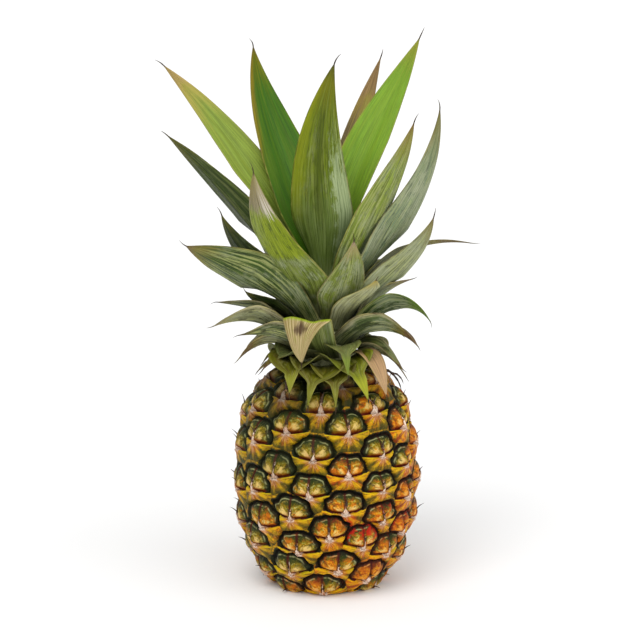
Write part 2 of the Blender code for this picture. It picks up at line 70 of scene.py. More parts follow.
LEAVES = (
    ("leaf_01_right_tall", 132, 136, 86, 341, 34, 60, 125, 0.42, 0.30, 22),
    ("leaf_02_centre_tall", -14, 14, 20, 333, 42, 72, 80, 0.36, 0.38, 0),
    ("leaf_03_back_left_tall", -150, -142, 76, 336, 43, 84, -120, 0.34, 0.34, 0),
    ("leaf_04_back_thread_tip", 152, 160, 105, 325, 25, 52, 150, 0.34, 0.30, 0),
    ("leaf_05_back_upright", 176, 177, 104, 276, 26, 46, 177, 0.34, 0.30, 0),
    ("leaf_06_left_long", -108, -118, 118, 324, 32, 40, -112, 0.26, 0.30, 38),
    ("leaf_07_right_striped", 64, 77, 55, 296, 33, 74, 85, 0.22, 0.34, -26),
    ("leaf_08_right_grey", 90, 92, 70, 303, 33, 88, 92, 0.13, 0.46, -50),
    ("leaf_09_back_right_mid", 164, 162, 60, 250, 16, 62, 162, 0.34, 0.30, 0),
    ("leaf_10_back_mid", -174, -176, 94, 246, 31, 38, -176, 0.34, 0.30, 0),
    ("leaf_11_front_left_broad", -46, -41, 67, 271, 45, 84, -50, 0.26, 0.42, 0),
    ("leaf_13_back_left_mid", -149, -153, 92, 246, 21, 38, -153, 0.34, 0.30, 0),
    ("leaf_14_front_right_broad", 27, 20, 48, 228, 32, 76, 20, 0.34, 0.34, 0),
    ("leaf_15_right_hooked", 96, 99, 92, 216, 24, -10, 99, 0.36, 0.42, -20),
    ("leaf_12_left_dark", -112, -96, 100, 285, 21, 42, -88, 0.20, 0.32, -62),
    ("leaf_16_left_small", -102, -100, 67, 235, 24, 72, -100, 0.22, 0.36, -60),
    ("leaf_17_right_pale", 73, 76, 68, 238, 23, 74, 75, 0.20, 0.36, -42),
    ("leaf_18_back_arching", 166, 160, 92, 222, 29, 16, 160, 0.36, 0.34, 0),
    ("leaf_19_back_left_arching", -160, -160, 94, 222, 27, 20, -160, 0.36, 0.34, 0),
    ("leaf_20_left_front", -60, -82, 88, 219, 36, 26, -92, 0.30, 0.34, -36),
    ("leaf_21_right_front_pale", 52, 37, 50, 203, 22, 58, 36, 0.40, 0.30, -8),
    ("leaf_22_back_right_arching", 140, 150, 80, 196, 26, 0, 150, 0.36, 0.36, 0),
    ("leaf_23_left_shaded", -86, -84, 51, 189, 25, 46, -84, 0.36, 0.30, -30),
    ("leaf_24_right_curled", 96, 94, 54, 195, 17, 12, 94, 0.40, 0.36, -14),
    ("leaf_25_back_low", -176, -176, 84, 186, 27, -12, -176, 0.36, 0.38, 0),
    ("leaf_26_left_back_low", -132, -136, 80, 190, 25, 4, -136, 0.36, 0.36, 0),
    ("leaf_27_right_arching", 70, 77, 66, 172, 25, -56, 77, 0.42, 0.44, -26),
    ("leaf_28_left_level", -102, -94, 69, 180, 20, 4, -94, 0.40, 0.36, -20),
    ("leaf_29_front_folded", -10, -19, 44, 149, 36, -88, -22, 0.92, 0.60, 0),
    ("leaf_30_right_drooping", 54, 66, 62, 158, 29, -50, 66, 0.44, 0.44, -26),
    ("leaf_31_back_right_low", 148, 150, 78, 166, 25, -34, 150, 0.38, 0.40, 0),
    ("leaf_32_left_pale", -74, -80, 72, 168, 26, -24, -80, 0.42, 0.40, -26),
    ("leaf_33_back_left_low", -150, -150, 76, 162, 24, -36, -150, 0.38, 0.40, 0),
    ("leaf_34_right_low", 106, 114, 52, 156, 22, -44, 114, 0.38, 0.42, 0),
    ("leaf_35_left_front_low", -48, -70, 58, 164, 25, -10, -80, 0.40, 0.38, -18),
    ("leaf_36_back_short", 176, 178, 66, 150, 24, -46, 178, 0.38, 0.42, 0),
    ("leaf_37_left_tan", -84, -76, 57, 147, 22, -50, -76, 0.42, 0.42, -16),
    ("leaf_38_left_back_short", -124, -124, 54, 147, 22, -50, -124, 0.38, 0.42, 0),
    ("leaf_39_front_bent", 22, 15, 51, 145, 28, -66, 15, 0.44, 0.44, 0),
    ("leaf_40_right_short", 78, 73, 50, 141, 19, -44, 73, 0.40, 0.40, -8),
    ("leaf_41_back_right_short", 130, 130, 52, 144, 22, -50, 130, 0.38, 0.42, 0),
    ("leaf_42_left_lowest", -46, -54, 49, 144, 21, -46, -54, 0.42, 0.42, 0),
    ("leaf_43_shoulder_right_tan", 50, 41, 56, 131, 21, -64, 38, 0.42, 0.44, 0),
    ("leaf_44_shoulder_back_left", -152, -152, 54, 131, 22, -62, -152, 0.40, 0.44, 0),
    ("leaf_45_shoulder_front_right", 19, 27, 56, 130, 20, -62, 34, 0.42, 0.44, 0),
    ("leaf_46_shoulder_left", -118, -118, 46, 137, 20, -56, -118, 0.40, 0.44, 0),
    ("leaf_47_shoulder_back", 162, 162, 54, 131, 22, -62, 162, 0.40, 0.44, 0),
    ("leaf_48_shoulder_front_left", -38, -25, 54, 134, 20, -64, -20, 0.42, 0.44, 0),
    ("leaf_49_shoulder_right", 100, 98, 51, 131, 20, -60, 98, 0.40, 0.44, 0),
    ("leaf_50_shoulder_front", -8, -12, 55, 127, 21, -66, -14, 0.42, 0.44, 0),
    ("leaf_52_shoulder_front_low", 7, 6, 54, 126, 13, -68, 6, 0.42, 0.44, 0),
    ("leaf_51_shoulder_left_low", -78, -80, 44, 138, 18, -50, -80, 0.40, 0.44, 0),
)
NARROWEST_BASE = 5.2
# the sheathing bases and limp edges make these blades look wider than their solids
WIDER = {"leaf_12": 1.6, "leaf_16": 1.25, "leaf_20": 1.3, "leaf_27": 1.4, "leaf_28": 1.55,
         "leaf_30": 1.4, "leaf_32": 1.35, "leaf_35": 1.45, "leaf_37": 1.4, "leaf_40": 1.3,
         "leaf_17": 1.15, "leaf_21": 1.35, "leaf_24": 1.9, "leaf_15": 1.15, "leaf_39": 0.85,
         "leaf_11": 1.15, "leaf_45": 1.8, "leaf_48": 1.9, "leaf_50": 1.9, "leaf_52": 2.6,
         "leaf_43": 0.8, "leaf_44": 1.6, "leaf_46": 1.6, "leaf_47": 1.6, "leaf_49": 1.6,
         "leaf_51": 1.6, "leaf_42": 1.5}
SHOULDER = {"leaf_42", "leaf_44", "leaf_45", "leaf_46", "leaf_47", "leaf_48", "leaf_49", "leaf_50",
            "leaf_51", "leaf_52"}


def catmull(p0, p1, p2, p3, t):
    return 0.5 * (2 * p1 + (p2 - p0) * t + (2 * p0 - 5 * p1 + 4 * p2 - p3) * t * t
                  + (3 * p1 - p0 - 3 * p2 + p3) * t ** 3)


def profile_table(points, per_span=40):
    """Dense radius, height, length and conformal latitude along the turned profile."""
    pts = np.array(points, float)
    last = len(pts) - 1
    out = [catmull(pts[max(i - 1, 0)], pts[i], pts[i + 1], pts[min(i + 2, last)], k / per_span)
           for i in range(last) for k in range(per_span)]
    out.append(pts[-1])
    out = np.array(out)
    out[:, 1] = np.maximum(out[:, 1], 0.0)
    step = np.hypot(*np.diff(out, axis=0).T)
    length = np.concatenate([[0.0], np.cumsum(step)])
    middle = np.maximum(0.5 * (out[1:, 0] + out[:-1, 0]), 1e-3)
    mercator = np.concatenate([[0.0], np.cumsum(step / middle)])
    mercator -= np.interp(0.5 * length[-1], length, mercator)
    slope = np.gradient(out, length, axis=0)
    slope /= np.maximum(np.linalg.norm(slope, axis=1, keepdims=True), 1e-9)
    return {"r": out[:, 0], "z": out[:, 1], "s": length, "m": mercator,
            "nr": slope[:, 1], "nz": -slope[:, 0]}


SKIN = profile_table(FRUIT_PROFILE)


def direction(azimuth, s):
    m = np.interp(s, SKIN["s"], SKIN["m"])
    flat, up = 1.0 / np.cosh(m), np.tanh(m)
    return np.stack([flat * np.sin(azimuth), -flat * np.cos(azimuth), up], axis=-1)


def skin_point(unit, lift):
    unit = unit / np.linalg.norm(unit, axis=-1, keepdims=True)
    m = np.arctanh(np.clip(unit[..., 2], -0.9999999, 0.9999999))
    azimuth = np.arctan2(unit[..., 0], -unit[..., 1])
    r, z, nr, nz = (np.interp(m, SKIN["m"], SKIN[k]) for k in ("r", "z", "nr", "nz"))
    r = r + lift * nr
    z = np.maximum(z + lift * nz, 0.0)
    return np.stack([r * np.sin(azimuth), -r * np.cos(azimuth), z], axis=-1)


def height_to_s(z):
    rising = SKIN["s"] > 20.0
    return np.interp(z, SKIN["z"][rising], SKIN["s"][rising])


def eye_centres():
    front = np.array(FRONT_EYES, float)
    theta = list(np.radians(front[:, 0]))
    s = list(height_to_s(front[:, 1]))
    fixed = len(theta)
    s_low = np.interp(EYE_LOW, SKIN["r"][:200], SKIN["s"][:200])
    top = SKIN["s"] > 0.6 * SKIN["s"][-1]
    s_high = np.interp(-EYE_HIGH, -SKIN["r"][top], SKIN["s"][top])
    inside = (SKIN["s"] >= s_low - 8) & (SKIN["s"] <= s_high + 8)
    area = np.cumsum(np.where(inside, 2 * math.pi * (SKIN["r"] + 1.5) * np.gradient(SKIN["s"]), 0))
    count = int(round(area[-1] / EYE_AREA))
    turn = math.radians(360.0 * 13 / 15 - 0.04)
    px = skin_point(direction(np.array(theta), np.array(s)), 0.0)
    for k in range(count):
        a = math.radians(13.3) - (k - 40) * turn
        a = (a + math.pi) % (2 * math.pi) - math.pi
        sk = np.interp((k + 0.5) / count * area[-1], area, SKIN["s"])
        p = skin_point(direction(np.array([a]), np.array([sk])), 0.0)[0]
        if np.min(np.linalg.norm(px[:fixed] - p, axis=1)) > 16.5 and not (
                abs(a) < math.radians(50) and 12 < p[2] < 118):
            theta.append(a)
            s.append(sk)
    theta, s = np.array(theta), np.array(s)
    for _ in range(240):
        p = skin_point(direction(theta, s), 0.0)
        gap = p[:, None] - p[None]
        dist = np.linalg.norm(gap, axis=2) + np.eye(len(p)) * 1e6
        push = (gap / dist[..., None] * (np.maximum(0, 31.0 - dist) ** 2 / 31.0)[..., None]).sum(1)
        e_theta = np.stack([np.cos(theta), np.sin(theta), np.zeros_like(theta)], -1)
        ds = 0.5
        ahead = skin_point(direction(theta, s + ds), 0.0)
        e_s = (ahead - p) / np.linalg.norm(ahead - p, axis=1, keepdims=True)
        radius = np.maximum(np.hypot(p[:, 0], p[:, 1]), 5.0)
        move_t = np.clip((push * e_theta).sum(1) * 0.22, -2, 2) / radius
        move_s = np.clip((push * e_s).sum(1) * 0.22, -2, 2)
        move_t[:fixed] = 0
        move_s[:fixed] = 0
        theta = theta + move_t
        s = np.clip(s + move_s, s_low, s_high)
    return theta, s


def hull_faces(points):
    bm = bmesh.new()
    verts = [bm.verts.new(p) for p in points]
    bm.verts.index_update()
    bmesh.ops.convex_hull(bm, input=verts)
    bmesh.ops.triangulate(bm, faces=bm.faces[:])
    faces = [tuple(v.index for v in f.verts) for f in bm.faces]
    bm.free()
    return faces


def eye_cells(centres):
    around = [[] for _ in centres]
    for face in hull_faces([tuple(c) for c in centres]):
        a, b, c = (centres[i] for i in face)
        n = np.cross(b - a, c - a)
        n /= np.linalg.norm(n)
        if n @ (a + b + c) < 0:
            n = -n
        for i in face:
            around[i].append(n)
    cells = []
    for centre, corners in zip(centres, around):
        east = np.cross([0.0, 0.0, 1.0], centre)
        if np.linalg.norm(east) < 1e-6:
            east = np.array([1.0, 0.0, 0.0])
        east /= np.linalg.norm(east)
        north = np.cross(centre, east)
        corners = sorted(corners, key=lambda n: math.atan2(n @ north, n @ east))
        cells.append(np.array(corners))
    return cells


def stem_z(radius):
    f = (STEM_FOOT_RADIUS - radius) / (STEM_FOOT_RADIUS - STEM_TIP_RADIUS)
    return STEM_FOOT_Z + (STEM_TIP_Z - STEM_FOOT_Z) * np.clip(f, 0, 1) ** 1.15


def leaf_bases():
    ring = np.full(360, STEM_TIP_RADIUS + 0.6)
    radii = []
    for number, leaf in enumerate(LEAVES):
        share = number / (len(LEAVES) - 1)
        half = 46 - 16 * share
        span = (np.arange(360) - leaf[1] + 180) % 360 - 180
        covered = np.abs(span) <= half
        radius = ring[covered].max() + LEAF_PITCH * (0.5 if number == 0 else 1.0)
        ring[covered] = radius
        radii.append(radius)
    radii = np.array(radii)
    most = STEM_FOOT_RADIUS - 0.6
    if radii.max() > most:
        radii = radii[0] + (radii - radii[0]) * (most - radii[0]) / (radii.max() - radii[0])
    return radii


def radial(azimuth, slope):
    a, e = math.radians(azimuth), math.radians(slope)
    return np.array([math.cos(e) * math.sin(a), -math.cos(e) * math.cos(a), math.sin(e)])


def leaf_curve(number, radii, ts):
    """Centre line of a leaf with its tangent, its width direction and the normal that faces
    the axis, at parameters ts from 0 at the base to 1 at the tip."""
    _, base_az, tip_az, tip_r, tip_z, _, end_slope, end_az, c0, c1, twist = LEAVES[number]
    share = number / (len(LEAVES) - 1)
    start_slope = START_SLOPES.get(LEAVES[number][0][:7], 88.0 - 80.0 * share ** 1.5)
    radius = radii[number]
    p0 = np.array([0.0, 0.0, float(stem_z(radius)) + 0.6]) + radial(base_az, 0) * radius
    p3 = radial(tip_az, 0) * tip_r + np.array([0.0, 0.0, tip_z])
    chord = np.linalg.norm(p3 - p0)
    p1 = p0 + radial(base_az, start_slope) * chord * c0
    p2 = p3 - radial(end_az, end_slope) * chord * c1
    t = np.asarray(ts, float)[:, None]
    centre = ((1 - t) ** 3 * p0 + 3 * (1 - t) ** 2 * t * p1 + 3 * (1 - t) * t * t * p2
              + t ** 3 * p3)
    tangent = 3 * ((1 - t) ** 2 * (p1 - p0) + 2 * (1 - t) * t * (p2 - p1) + t * t * (p3 - p2))
    tangent /= np.linalg.norm(tangent, axis=1, keepdims=True)
    a = math.radians(base_az)
    across = np.array([math.cos(a), math.sin(a), 0.0]) - tangent * (
        tangent @ np.array([math.cos(a), math.sin(a), 0.0]))[:, None]
    across /= np.linalg.norm(across, axis=1, keepdims=True)
    inward = np.cross(tangent, across)
    inward = inward * np.sign(inward[0] @ (np.array([0, 0, 0.5]) - radial(base_az, 0)))
    side = np.cross(tangent, inward)
    to_front = np.sign(-side[len(side) // 2, 1])
    turn = np.radians(twist) * to_front * np.clip((t - 0.16) / 0.4, 0, 1) ** 1.5
    return (centre, tangent, across * np.cos(turn) + np.cross(tangent, across) * np.sin(turn),
            inward * np.cos(turn) + side * np.sin(turn))


def leaf_half_width(number, radii, ts):
    t = np.asarray(ts, float)
    full = LEAVES[number][5] / 2 * WIDER.get(LEAVES[number][0][:7], 1.0)
    if LEAVES[number][0][:7] in SHOULDER | {"leaf_39"}:
        # a short leaf: a broad sheath with a pointed end, small on the lowest two in front
        if LEAVES[number][0][:7] in ("leaf_50", "leaf_52"):
            return full * (1 - 0.84 * smooth(t, 0.34, 0.66)) * np.clip((1 - t) / 0.36, 0, 1) ** 0.9
        return full * (1 - 0.76 * smooth(t, 0.36, 0.66)) * np.clip((1 - t) / 0.30, 0, 1) ** 0.9
    base = min(max(0.92 * full, NARROWEST_BASE), 0.95 * radii[number])
    power = 2.3 if number < 19 else 3.3
    grow = np.clip(t / 0.38, 0, 1)
    grow = grow * grow * (3 - 2 * grow)
    return (base + (full - base) * grow) * np.maximum(1 - t ** power, 0.0) / (
        1 - 0.38 ** power) ** grow


def leaf_curvature(number, radii, ts, centre):
    t = np.asarray(ts, float)
    own = 1.0 / np.maximum(np.hypot(centre[:, 0], centre[:, 1]), 5.0)
    free = 1.0 / (1.55 * LEAVES[number][5] / 2 + 6.0)
    blend = np.clip(t / 0.4, 0, 1)
    return own + (free - own) * blend * blend * (3 - 2 * blend)


# ------------------------------------------------------------------------------- small helpers


def smooth(x, lo, hi):
    f = np.clip((x - lo) / (hi - lo), 0, 1)
    return f * f * (3 - 2 * f)


def bell(x, width):
    return np.exp(-(x / width) ** 2)


def wave_noise(points, scale, seed, octaves=3):
    """Smooth noise from sums of tilted sine waves, about -1 to 1, the same in every run."""
    rng = np.random.default_rng(seed)
    out, size, total = 0.0, 1.0, 0.0
    for _ in range(octaves):
        for _ in range(4):
            k = rng.normal(size=points.shape[-1])
            k *= scale / size / np.linalg.norm(k) * rng.uniform(0.7, 1.4)
            out = out + size * np.sin(points @ k + rng.uniform(0, 6.28))
        total += size * 1.6
        size *= 0.5
    return out / total


def linear(hexcode):
    c = [int(hexcode[i:i + 2], 16) / 255 for i in (0, 2, 4)]
    return tuple(x / 12.92 if x <= 0.04045 else ((x + 0.055) / 1.055) ** 2.4 for x in c) + (1.0,)


def mesh_object(name, points, faces, material, attributes=(), merge=0.0):
    """points in millimetres; attributes are (name, domain, array of four values each)."""
    mesh = bpy.data.meshes.new(name)
    faces = np.asarray(faces, np.int32)
    mesh.vertices.add(len(points))
    mesh.vertices.foreach_set("co", (np.asarray(points, np.float32) * MM).ravel())
    sides = faces.shape[1]
    mesh.loops.add(faces.size)
    mesh.loops.foreach_set("vertex_index", faces.ravel())
    mesh.polygons.add(len(faces))
    mesh.polygons.foreach_set("loop_start", np.arange(0, faces.size, sides, dtype=np.int32))
    mesh.update(calc_edges=True)
    for key, domain, values in attributes:
        attribute = mesh.attributes.new(key, "FLOAT_COLOR", domain)
        attribute.data.foreach_set("color", np.asarray(values, np.float32).ravel())
    mesh.validate()
    mesh.shade_smooth()
    obj = bpy.data.objects.new(name, mesh)
    bpy.context.scene.collection.objects.link(obj)
    mesh.materials.append(material)
    return obj


# ------------------------------------------------------------------ arithmetic on shader nodes


class Sheet:
    """A material being written: its methods add nodes and return values to build on."""

    def __init__(self, name):
        self.material = bpy.data.materials.new(name)
        self.material.use_nodes = True
        self.tree = self.material.node_tree
        self.shader = self.tree.nodes["Principled BSDF"]

    def put(self, socket, value):
        if isinstance(value, Value):
            self.tree.links.new(value.socket, socket)
        else:
            socket.default_value = value

    def math(self, kind, *values, clamp=False):
        node = self.tree.nodes.new("ShaderNodeMath")
        node.operation = kind
        node.use_clamp = clamp
        for socket, value in zip(node.inputs, values):
            self.put(socket, value)
        return Value(self, node.outputs[0])

    def step(self, x, lo, hi, low=0.0, high=1.0):
        node = self.tree.nodes.new("ShaderNodeMapRange")
        node.interpolation_type = "SMOOTHSTEP"
        for socket, value in zip(node.inputs, (x, lo, hi, low, high)):
            self.put(socket, value)
        return Value(self, node.outputs[0])

    def mix(self, factor, a, b):
        node = self.tree.nodes.new("ShaderNodeMix")
        node.data_type = "RGBA"
        self.put(node.inputs[0], factor)
        self.put(node.inputs[6], linear(a) if isinstance(a, str) else a)
        self.put(node.inputs[7], linear(b) if isinstance(b, str) else b)
        return Value(self, node.outputs[2])

    def vector(self, x, y, z):
        node = self.tree.nodes.new("ShaderNodeCombineXYZ")
        for socket, value in zip(node.inputs, (x, y, z)):
            self.put(socket, value)
        return Value(self, node.outputs[0])

    def noise(self, vector, scale=1.0, detail=2.0, rough=0.5, swirl=0.0):
        node = self.tree.nodes.new("ShaderNodeTexNoise")
        self.put(node.inputs["Vector"], vector)
        for key, value in (("Scale", scale), ("Detail", detail), ("Roughness", rough),
                           ("Distortion", swirl)):
            self.put(node.inputs[key], value)
        return Value(self, node.outputs[0])

    def attribute(self, name):
        node = self.tree.nodes.new("ShaderNodeAttribute")
        node.attribute_name = name
        split = self.tree.nodes.new("ShaderNodeSeparateColor")
        self.tree.links.new(node.outputs["Color"], split.inputs[0])
        return [Value(self, s) for s in (*split.outputs[:3], node.outputs["Alpha"])]

    def place(self):
        """Place on the piece, in metres."""
        node = self.tree.nodes.new("ShaderNodeTexCoord")
        return Value(self, node.outputs["Object"])

    def deepen(self, colour, gamma, saturation, hue=0.5):
        node = self.tree.nodes.new("ShaderNodeGamma")
        self.put(node.inputs[0], colour)
        node.inputs[1].default_value = gamma
        tint = self.tree.nodes.new("ShaderNodeHueSaturation")
        tint.inputs["Saturation"].default_value = saturation
        tint.inputs["Hue"].default_value = hue
        self.tree.links.new(node.outputs[0], tint.inputs["Color"])
        return Value(self, tint.outputs[0])

    def finish(self, colour, roughness, height=None, depth=0.001, sheen=0.0, specular=0.5,
               coat=0.0, strength=1.0):
        self.put(self.shader.inputs["Base Color"], colour)
        self.put(self.shader.inputs["Roughness"], roughness)
        self.shader.inputs["Specular IOR Level"].default_value = specular
        self.shader.inputs["Sheen Weight"].default_value = sheen
        self.shader.inputs["Coat Weight"].default_value = coat
        self.shader.inputs["Coat Roughness"].default_value = 0.35
        if height is not None:
            bump = self.tree.nodes.new("ShaderNodeBump")
            bump.inputs["Strength"].default_value = strength
            bump.inputs["Distance"].default_value = depth
            self.put(bump.inputs["Height"], height)
            self.tree.links.new(bump.outputs[0], self.shader.inputs["Normal"])
        return self.material


class Value:
    def __init__(self, sheet, socket):
        self.sheet, self.socket = sheet, socket

    def __add__(self, other):
        return self.sheet.math("ADD", self, other)

    __radd__ = __add__

    def __mul__(self, other):
        return self.sheet.math("MULTIPLY", self, other)

    __rmul__ = __mul__

    def __sub__(self, other):
        return self.sheet.math("SUBTRACT", self, other)

    def __rsub__(self, other):
        return self.sheet.math("SUBTRACT", other, self)

    def __neg__(self):
        return self * -1.0

    def __abs__(self):
        return self.sheet.math("ABSOLUTE", self)

    def __pow__(self, power):
        return self.sheet.math("POWER", self, power)

    def bell(self, width):
        """1 where this is 0, falling to nothing over about twice the width."""
        return self.sheet.step(abs(self), width * 1.8, 0.0)


# --------------------------------------------------------------------------------------- skin
STAR = -0.31  # height of the star centre of an eye, where its pointed tip starts


def eye_fields(u, v, tilt, seed):
    """Over one eye: distance over the line where its bract ends, how far out a point is in the
    dome (1 in the middle of its outline), and the lift of dome and bract in millimetres."""
    bend = 0.05 * np.sin(2.3 * u + seed)
    line = STAR - 0.02 + (tilt + 0.11) * np.abs(u) ** 1.35 + bend * np.abs(u)
    over = v - line
    top = 0.91
    middle = line + 0.24 * (top - line)
    w = np.where(v > middle, (v - middle) / (top - middle), (middle - v) / (1.7 * (middle - line)))
    x = np.abs(u) / 0.87
    round_out = (x ** 2.3 + np.maximum(w, 0) ** 2.3) ** (1 / 2.3)
    turn = np.arctan2(u, np.maximum(over, 1e-3))
    fork_at = 0.75 + 0.1 * np.sin(seed)
    notch = 0.065 * bell(turn, 0.12) + 0.04 * bell(np.abs(turn) - fork_at, 0.12)
    notch = notch + 0.035 * np.sin(turn * 7 + seed * 4) + 0.03 * np.sin(turn * 11 + seed * 9)
    dome = round_out * (1 + notch)
    crease = 0.7 * bell(u - 0.03 * np.sin(seed * 3), 0.06) * smooth(over, 0.4, 0.7)
    crease = crease + 0.35 * bell(np.abs(turn) - fork_at, 0.10) * smooth(dome, 0.45, 0.8)
    slit = 1 - 0.70 * (1 - smooth(over, 0.03, 0.26)) * smooth(np.abs(u), 0.06, 0.16) * (
        1 - smooth(np.abs(u), 0.62, 0.85))
    lobes = 0.6 * bell(np.abs(u) - 0.38, 0.26) * bell(over - 0.55, 0.34)
    h_dome = -1.0 + (4.1 + lobes) * np.maximum(1 - np.clip(dome, 0, 1) ** 2.8, 0) ** 0.7 * slit
    h_dome = h_dome - crease
    fall = smooth(-over, 0.0, 1.0)
    h_bract = (2.6 - 0.8 * np.abs(u)) * (1 - 0.40 * fall)
    h_bract = h_bract + 0.5 * bell(u, 0.16) * (1 - smooth(-over, 0.1, 0.6))
    h_bract = np.where(over > 0, 1.3, h_bract)
    side = u - 0.07 * np.sin(seed * 5) * smooth(over, 0.0, 0.6)
    wide = np.maximum(0.15 - 0.22 * over, 0.035)
    ridge = bell(side, wide) * smooth(over, -0.20, 0.0) * (1 - smooth(over, 0.40, 0.75))
    return over, dome, h_dome, h_bract, ridge


def drift(azimuth, z):
    """How green, orange and red the skin is there, from 0 to 1; the green value also carries painted
    shade under the crown, which takes it past 1.
    """
    up = z / 140.0
    right = np.sin(azimuth - 0.35)
    green = 0.55 + 0.50 * (up - 0.45) - 0.38 * right
    orange = 0.58 - 0.70 * (up - 0.5) + 0.46 * right
    # painted shade: the eyes right under the crown, shaded by the leaves, are made dark green through
    # a green value above 1
    return np.clip(green, 0, 1) + smooth(z, 116, 134) * (0.9 - 0.4 * right), np.clip(orange, 0, 1)


# azimuth and height of an eye, how red its bract is and how red its dome is
RED_EYES = ((13.5, 63.5, 0.75, 0.1), (24.5, 39.5, 0.1, 0.75), (36.5, 73.5, 0.35, 0.1),
            (59, 86, 0.45, 0.2), (60, 43, 0.35, 0.45), (37.5, 55, 0.2, 0.4), (12, 85.5, 0.2, 0.1))


def build_skin(material):
    theta, s = eye_centres()
    units = list(direction(theta, s))
    eyes = len(units)
    cells = eye_cells(units + [np.array([0.0, 0.0, -1.0]), np.array([0.0, 0.0, 1.0])])
    units += [np.array([0.0, 0.0, -1.0]), np.array([0.0, 0.0, 1.0])]
    rng = np.random.default_rng(11)
    ways, reach, own, frames, faces, face_cell, known = [], [], [], [], [], [], {}
    tips = []
    rings = np.array([0.07, 0.15, 0.23, 0.31, 0.39, 0.47, 0.55, 0.63, 0.71, 0.78, 0.84, 0.89, 0.93,
                      0.965, 1.0])

    def key_of(unit):
        return tuple(np.round(unit, 5) + 0.0)

    for number, (unit, corners) in enumerate(zip(units, cells)):
        rand = rng.random(8)
        rim = []
        for i, corner in enumerate(corners):
            after = corners[(i + 1) % len(corners)]
            low, high = sorted((key_of(corner), key_of(after)))
            flip = low != key_of(corner)
            size = np.linalg.norm(skin_point(corner, 0.0) - skin_point(after, 0.0))
            steps = max(2, int(round(size / 1.25)))
            for k in range(steps):
                f = k / steps
                point = corner * (1 - f) + after * f
                rim.append((point / np.linalg.norm(point), (low, high, steps - k if flip else k)
                            if k else key_of(corner)))
        edge = np.array([p for p, _ in rim])
        base = skin_point(unit, 0.0)
        if number < eyes:
            az = theta[number]
            right = np.array([math.cos(az), math.sin(az), 0.0])
            ahead = skin_point(direction(az, s[number] + 0.5), 0.0)
            up = (ahead - base) / np.linalg.norm(ahead - base)
        else:
            right, up = np.array([1.0, 0, 0]), np.array([0, 1.0, 0])
        flat = skin_point(edge, 0.0) - base
        x, y = flat @ right, flat @ up
        xm, ym = (x.max() + x.min()) / 2, (y.max() + y.min()) / 2
        xh, yh = (x.max() - x.min()) / 2, (y.max() - y.min()) / 2
        size = min(1.0, (xh + yh) / 25.0)
        if number < eyes:
            xh, yh = 0.65 * xh + 0.35 * 13.4 * size, 0.65 * yh + 0.35 * 9.8 * size
            xm, ym = 0.6 * xm, 0.6 * ym
            # the fan of rings starts at the star centre of the eye
            gain = 0.3
            for _ in range(6):
                here = skin_point(unit, 0.0) - base
                unit = unit + (right * (xm - here @ right) + up * (ym + STAR * yh - here @ up)) * (
                    gain / max(np.hypot(*base[:2]), 20.0)) * 1.6
                unit = unit / np.linalg.norm(unit)
        grid = unit[None, None] * (1 - rings)[:, None, None] + edge[None] * rings[:, None, None]
        grid = np.concatenate([unit[None, None].repeat(1, 0).repeat(len(edge), 1), grid])
        rho = np.concatenate([[0.0], rings])[:, None].repeat(len(edge), 1)
        grid = grid / np.linalg.norm(grid, axis=2, keepdims=True)
        n = len(edge)
        index = np.zeros((len(rings) + 1, n), np.int64)
        for j in range(len(rings) + 1):
            for i in range(n):
                if j == 0 and i > 0:
                    index[j, i] = index[0, 0]
                    continue
                if j == len(rings):
                    key = rim[i][1]
                    if key in known:
                        index[j, i] = known[key]
                        continue
                    known[key] = len(ways)
                index[j, i] = len(ways)
                ways.append(grid[j, i])
                reach.append(rho[j, i])
                own.append(number)
        if number < eyes:
            green, orange = drift(theta[number], base[2])
            red, flush = max([(0.0, 0.0)] + [
                (w, q) for a, z, w, q in RED_EYES
                if abs(math.degrees(theta[number]) - a) < 4 and abs(base[2] - z) < 5])
            if abs(theta[number]) > 1.3:
                red, flush = max(0.0, rand[6] - 0.72) * 2.2, max(0.0, rand[7] - 0.72) * 2.2
            green = np.clip(green + 0.28 * (rand[4] - 0.5), 0, 2)
            orange = np.clip(orange + 0.30 * (rand[5] - 0.5), 0, 1)
            kind = 0.0
        else:
            green, orange, red, flush, kind = 0.3, 0.3, 0.0, 0.0, 1.0
        j, i = np.meshgrid(np.arange(len(rings)), np.arange(n), indexing="ij")
        k = (i + 1) % n
        quads = [(j, i), (j + 1, i), (j + 1, k), (j, k)]
        first = j == 0
        for order in (((0, 1, 2), None), ((0, 2, 3), ~first)):
            use = order[1] if order[1] is not None else np.ones_like(first)
            rows = np.stack([quads[q][0][use] for q in order[0]], 1)
            cols = np.stack([quads[q][1][use] for q in order[0]], 1)
            faces.append(index[rows, cols])
            face_cell.append(np.full(len(rows), number))
        tilt = 0.10 + 0.08 * (rand[3] - 0.5) + 0.06 * (base[2] / 140.0 - 0.5)
        frames.append((*base, *right, *up, xm, ym, xh, yh, tilt, rand[0] * 6.28, size, rand[0],
                       rand[1], green, orange, red, flush, kind))
        if number < eyes:
            tips.append((unit, right, up, xh, yh, size, rand, base, theta[number]))
    faces, face_cell, frames = np.concatenate(faces), np.concatenate(face_cell), np.array(frames)
    ways, reach, own = np.array(ways), np.array(reach), np.array(own)
    flat = skin_point(ways, 0.0)

    def seen_from(places, eye):
        """Place relative to an eye, 1 at the sides and the top of its cell."""
        f = frames[eye]
        gap = places - f[..., :3]
        return ((np.sum(gap * f[..., 3:6], -1) - f[..., 9]) / f[..., 11],
                (np.sum(gap * f[..., 6:9], -1) - f[..., 10]) / f[..., 12])

    def fields_at(places, eye):
        u, v = seen_from(places, eye)
        f = frames[eye]
        return (u, v, *eye_fields(u, v, f[..., 13], f[..., 14]))

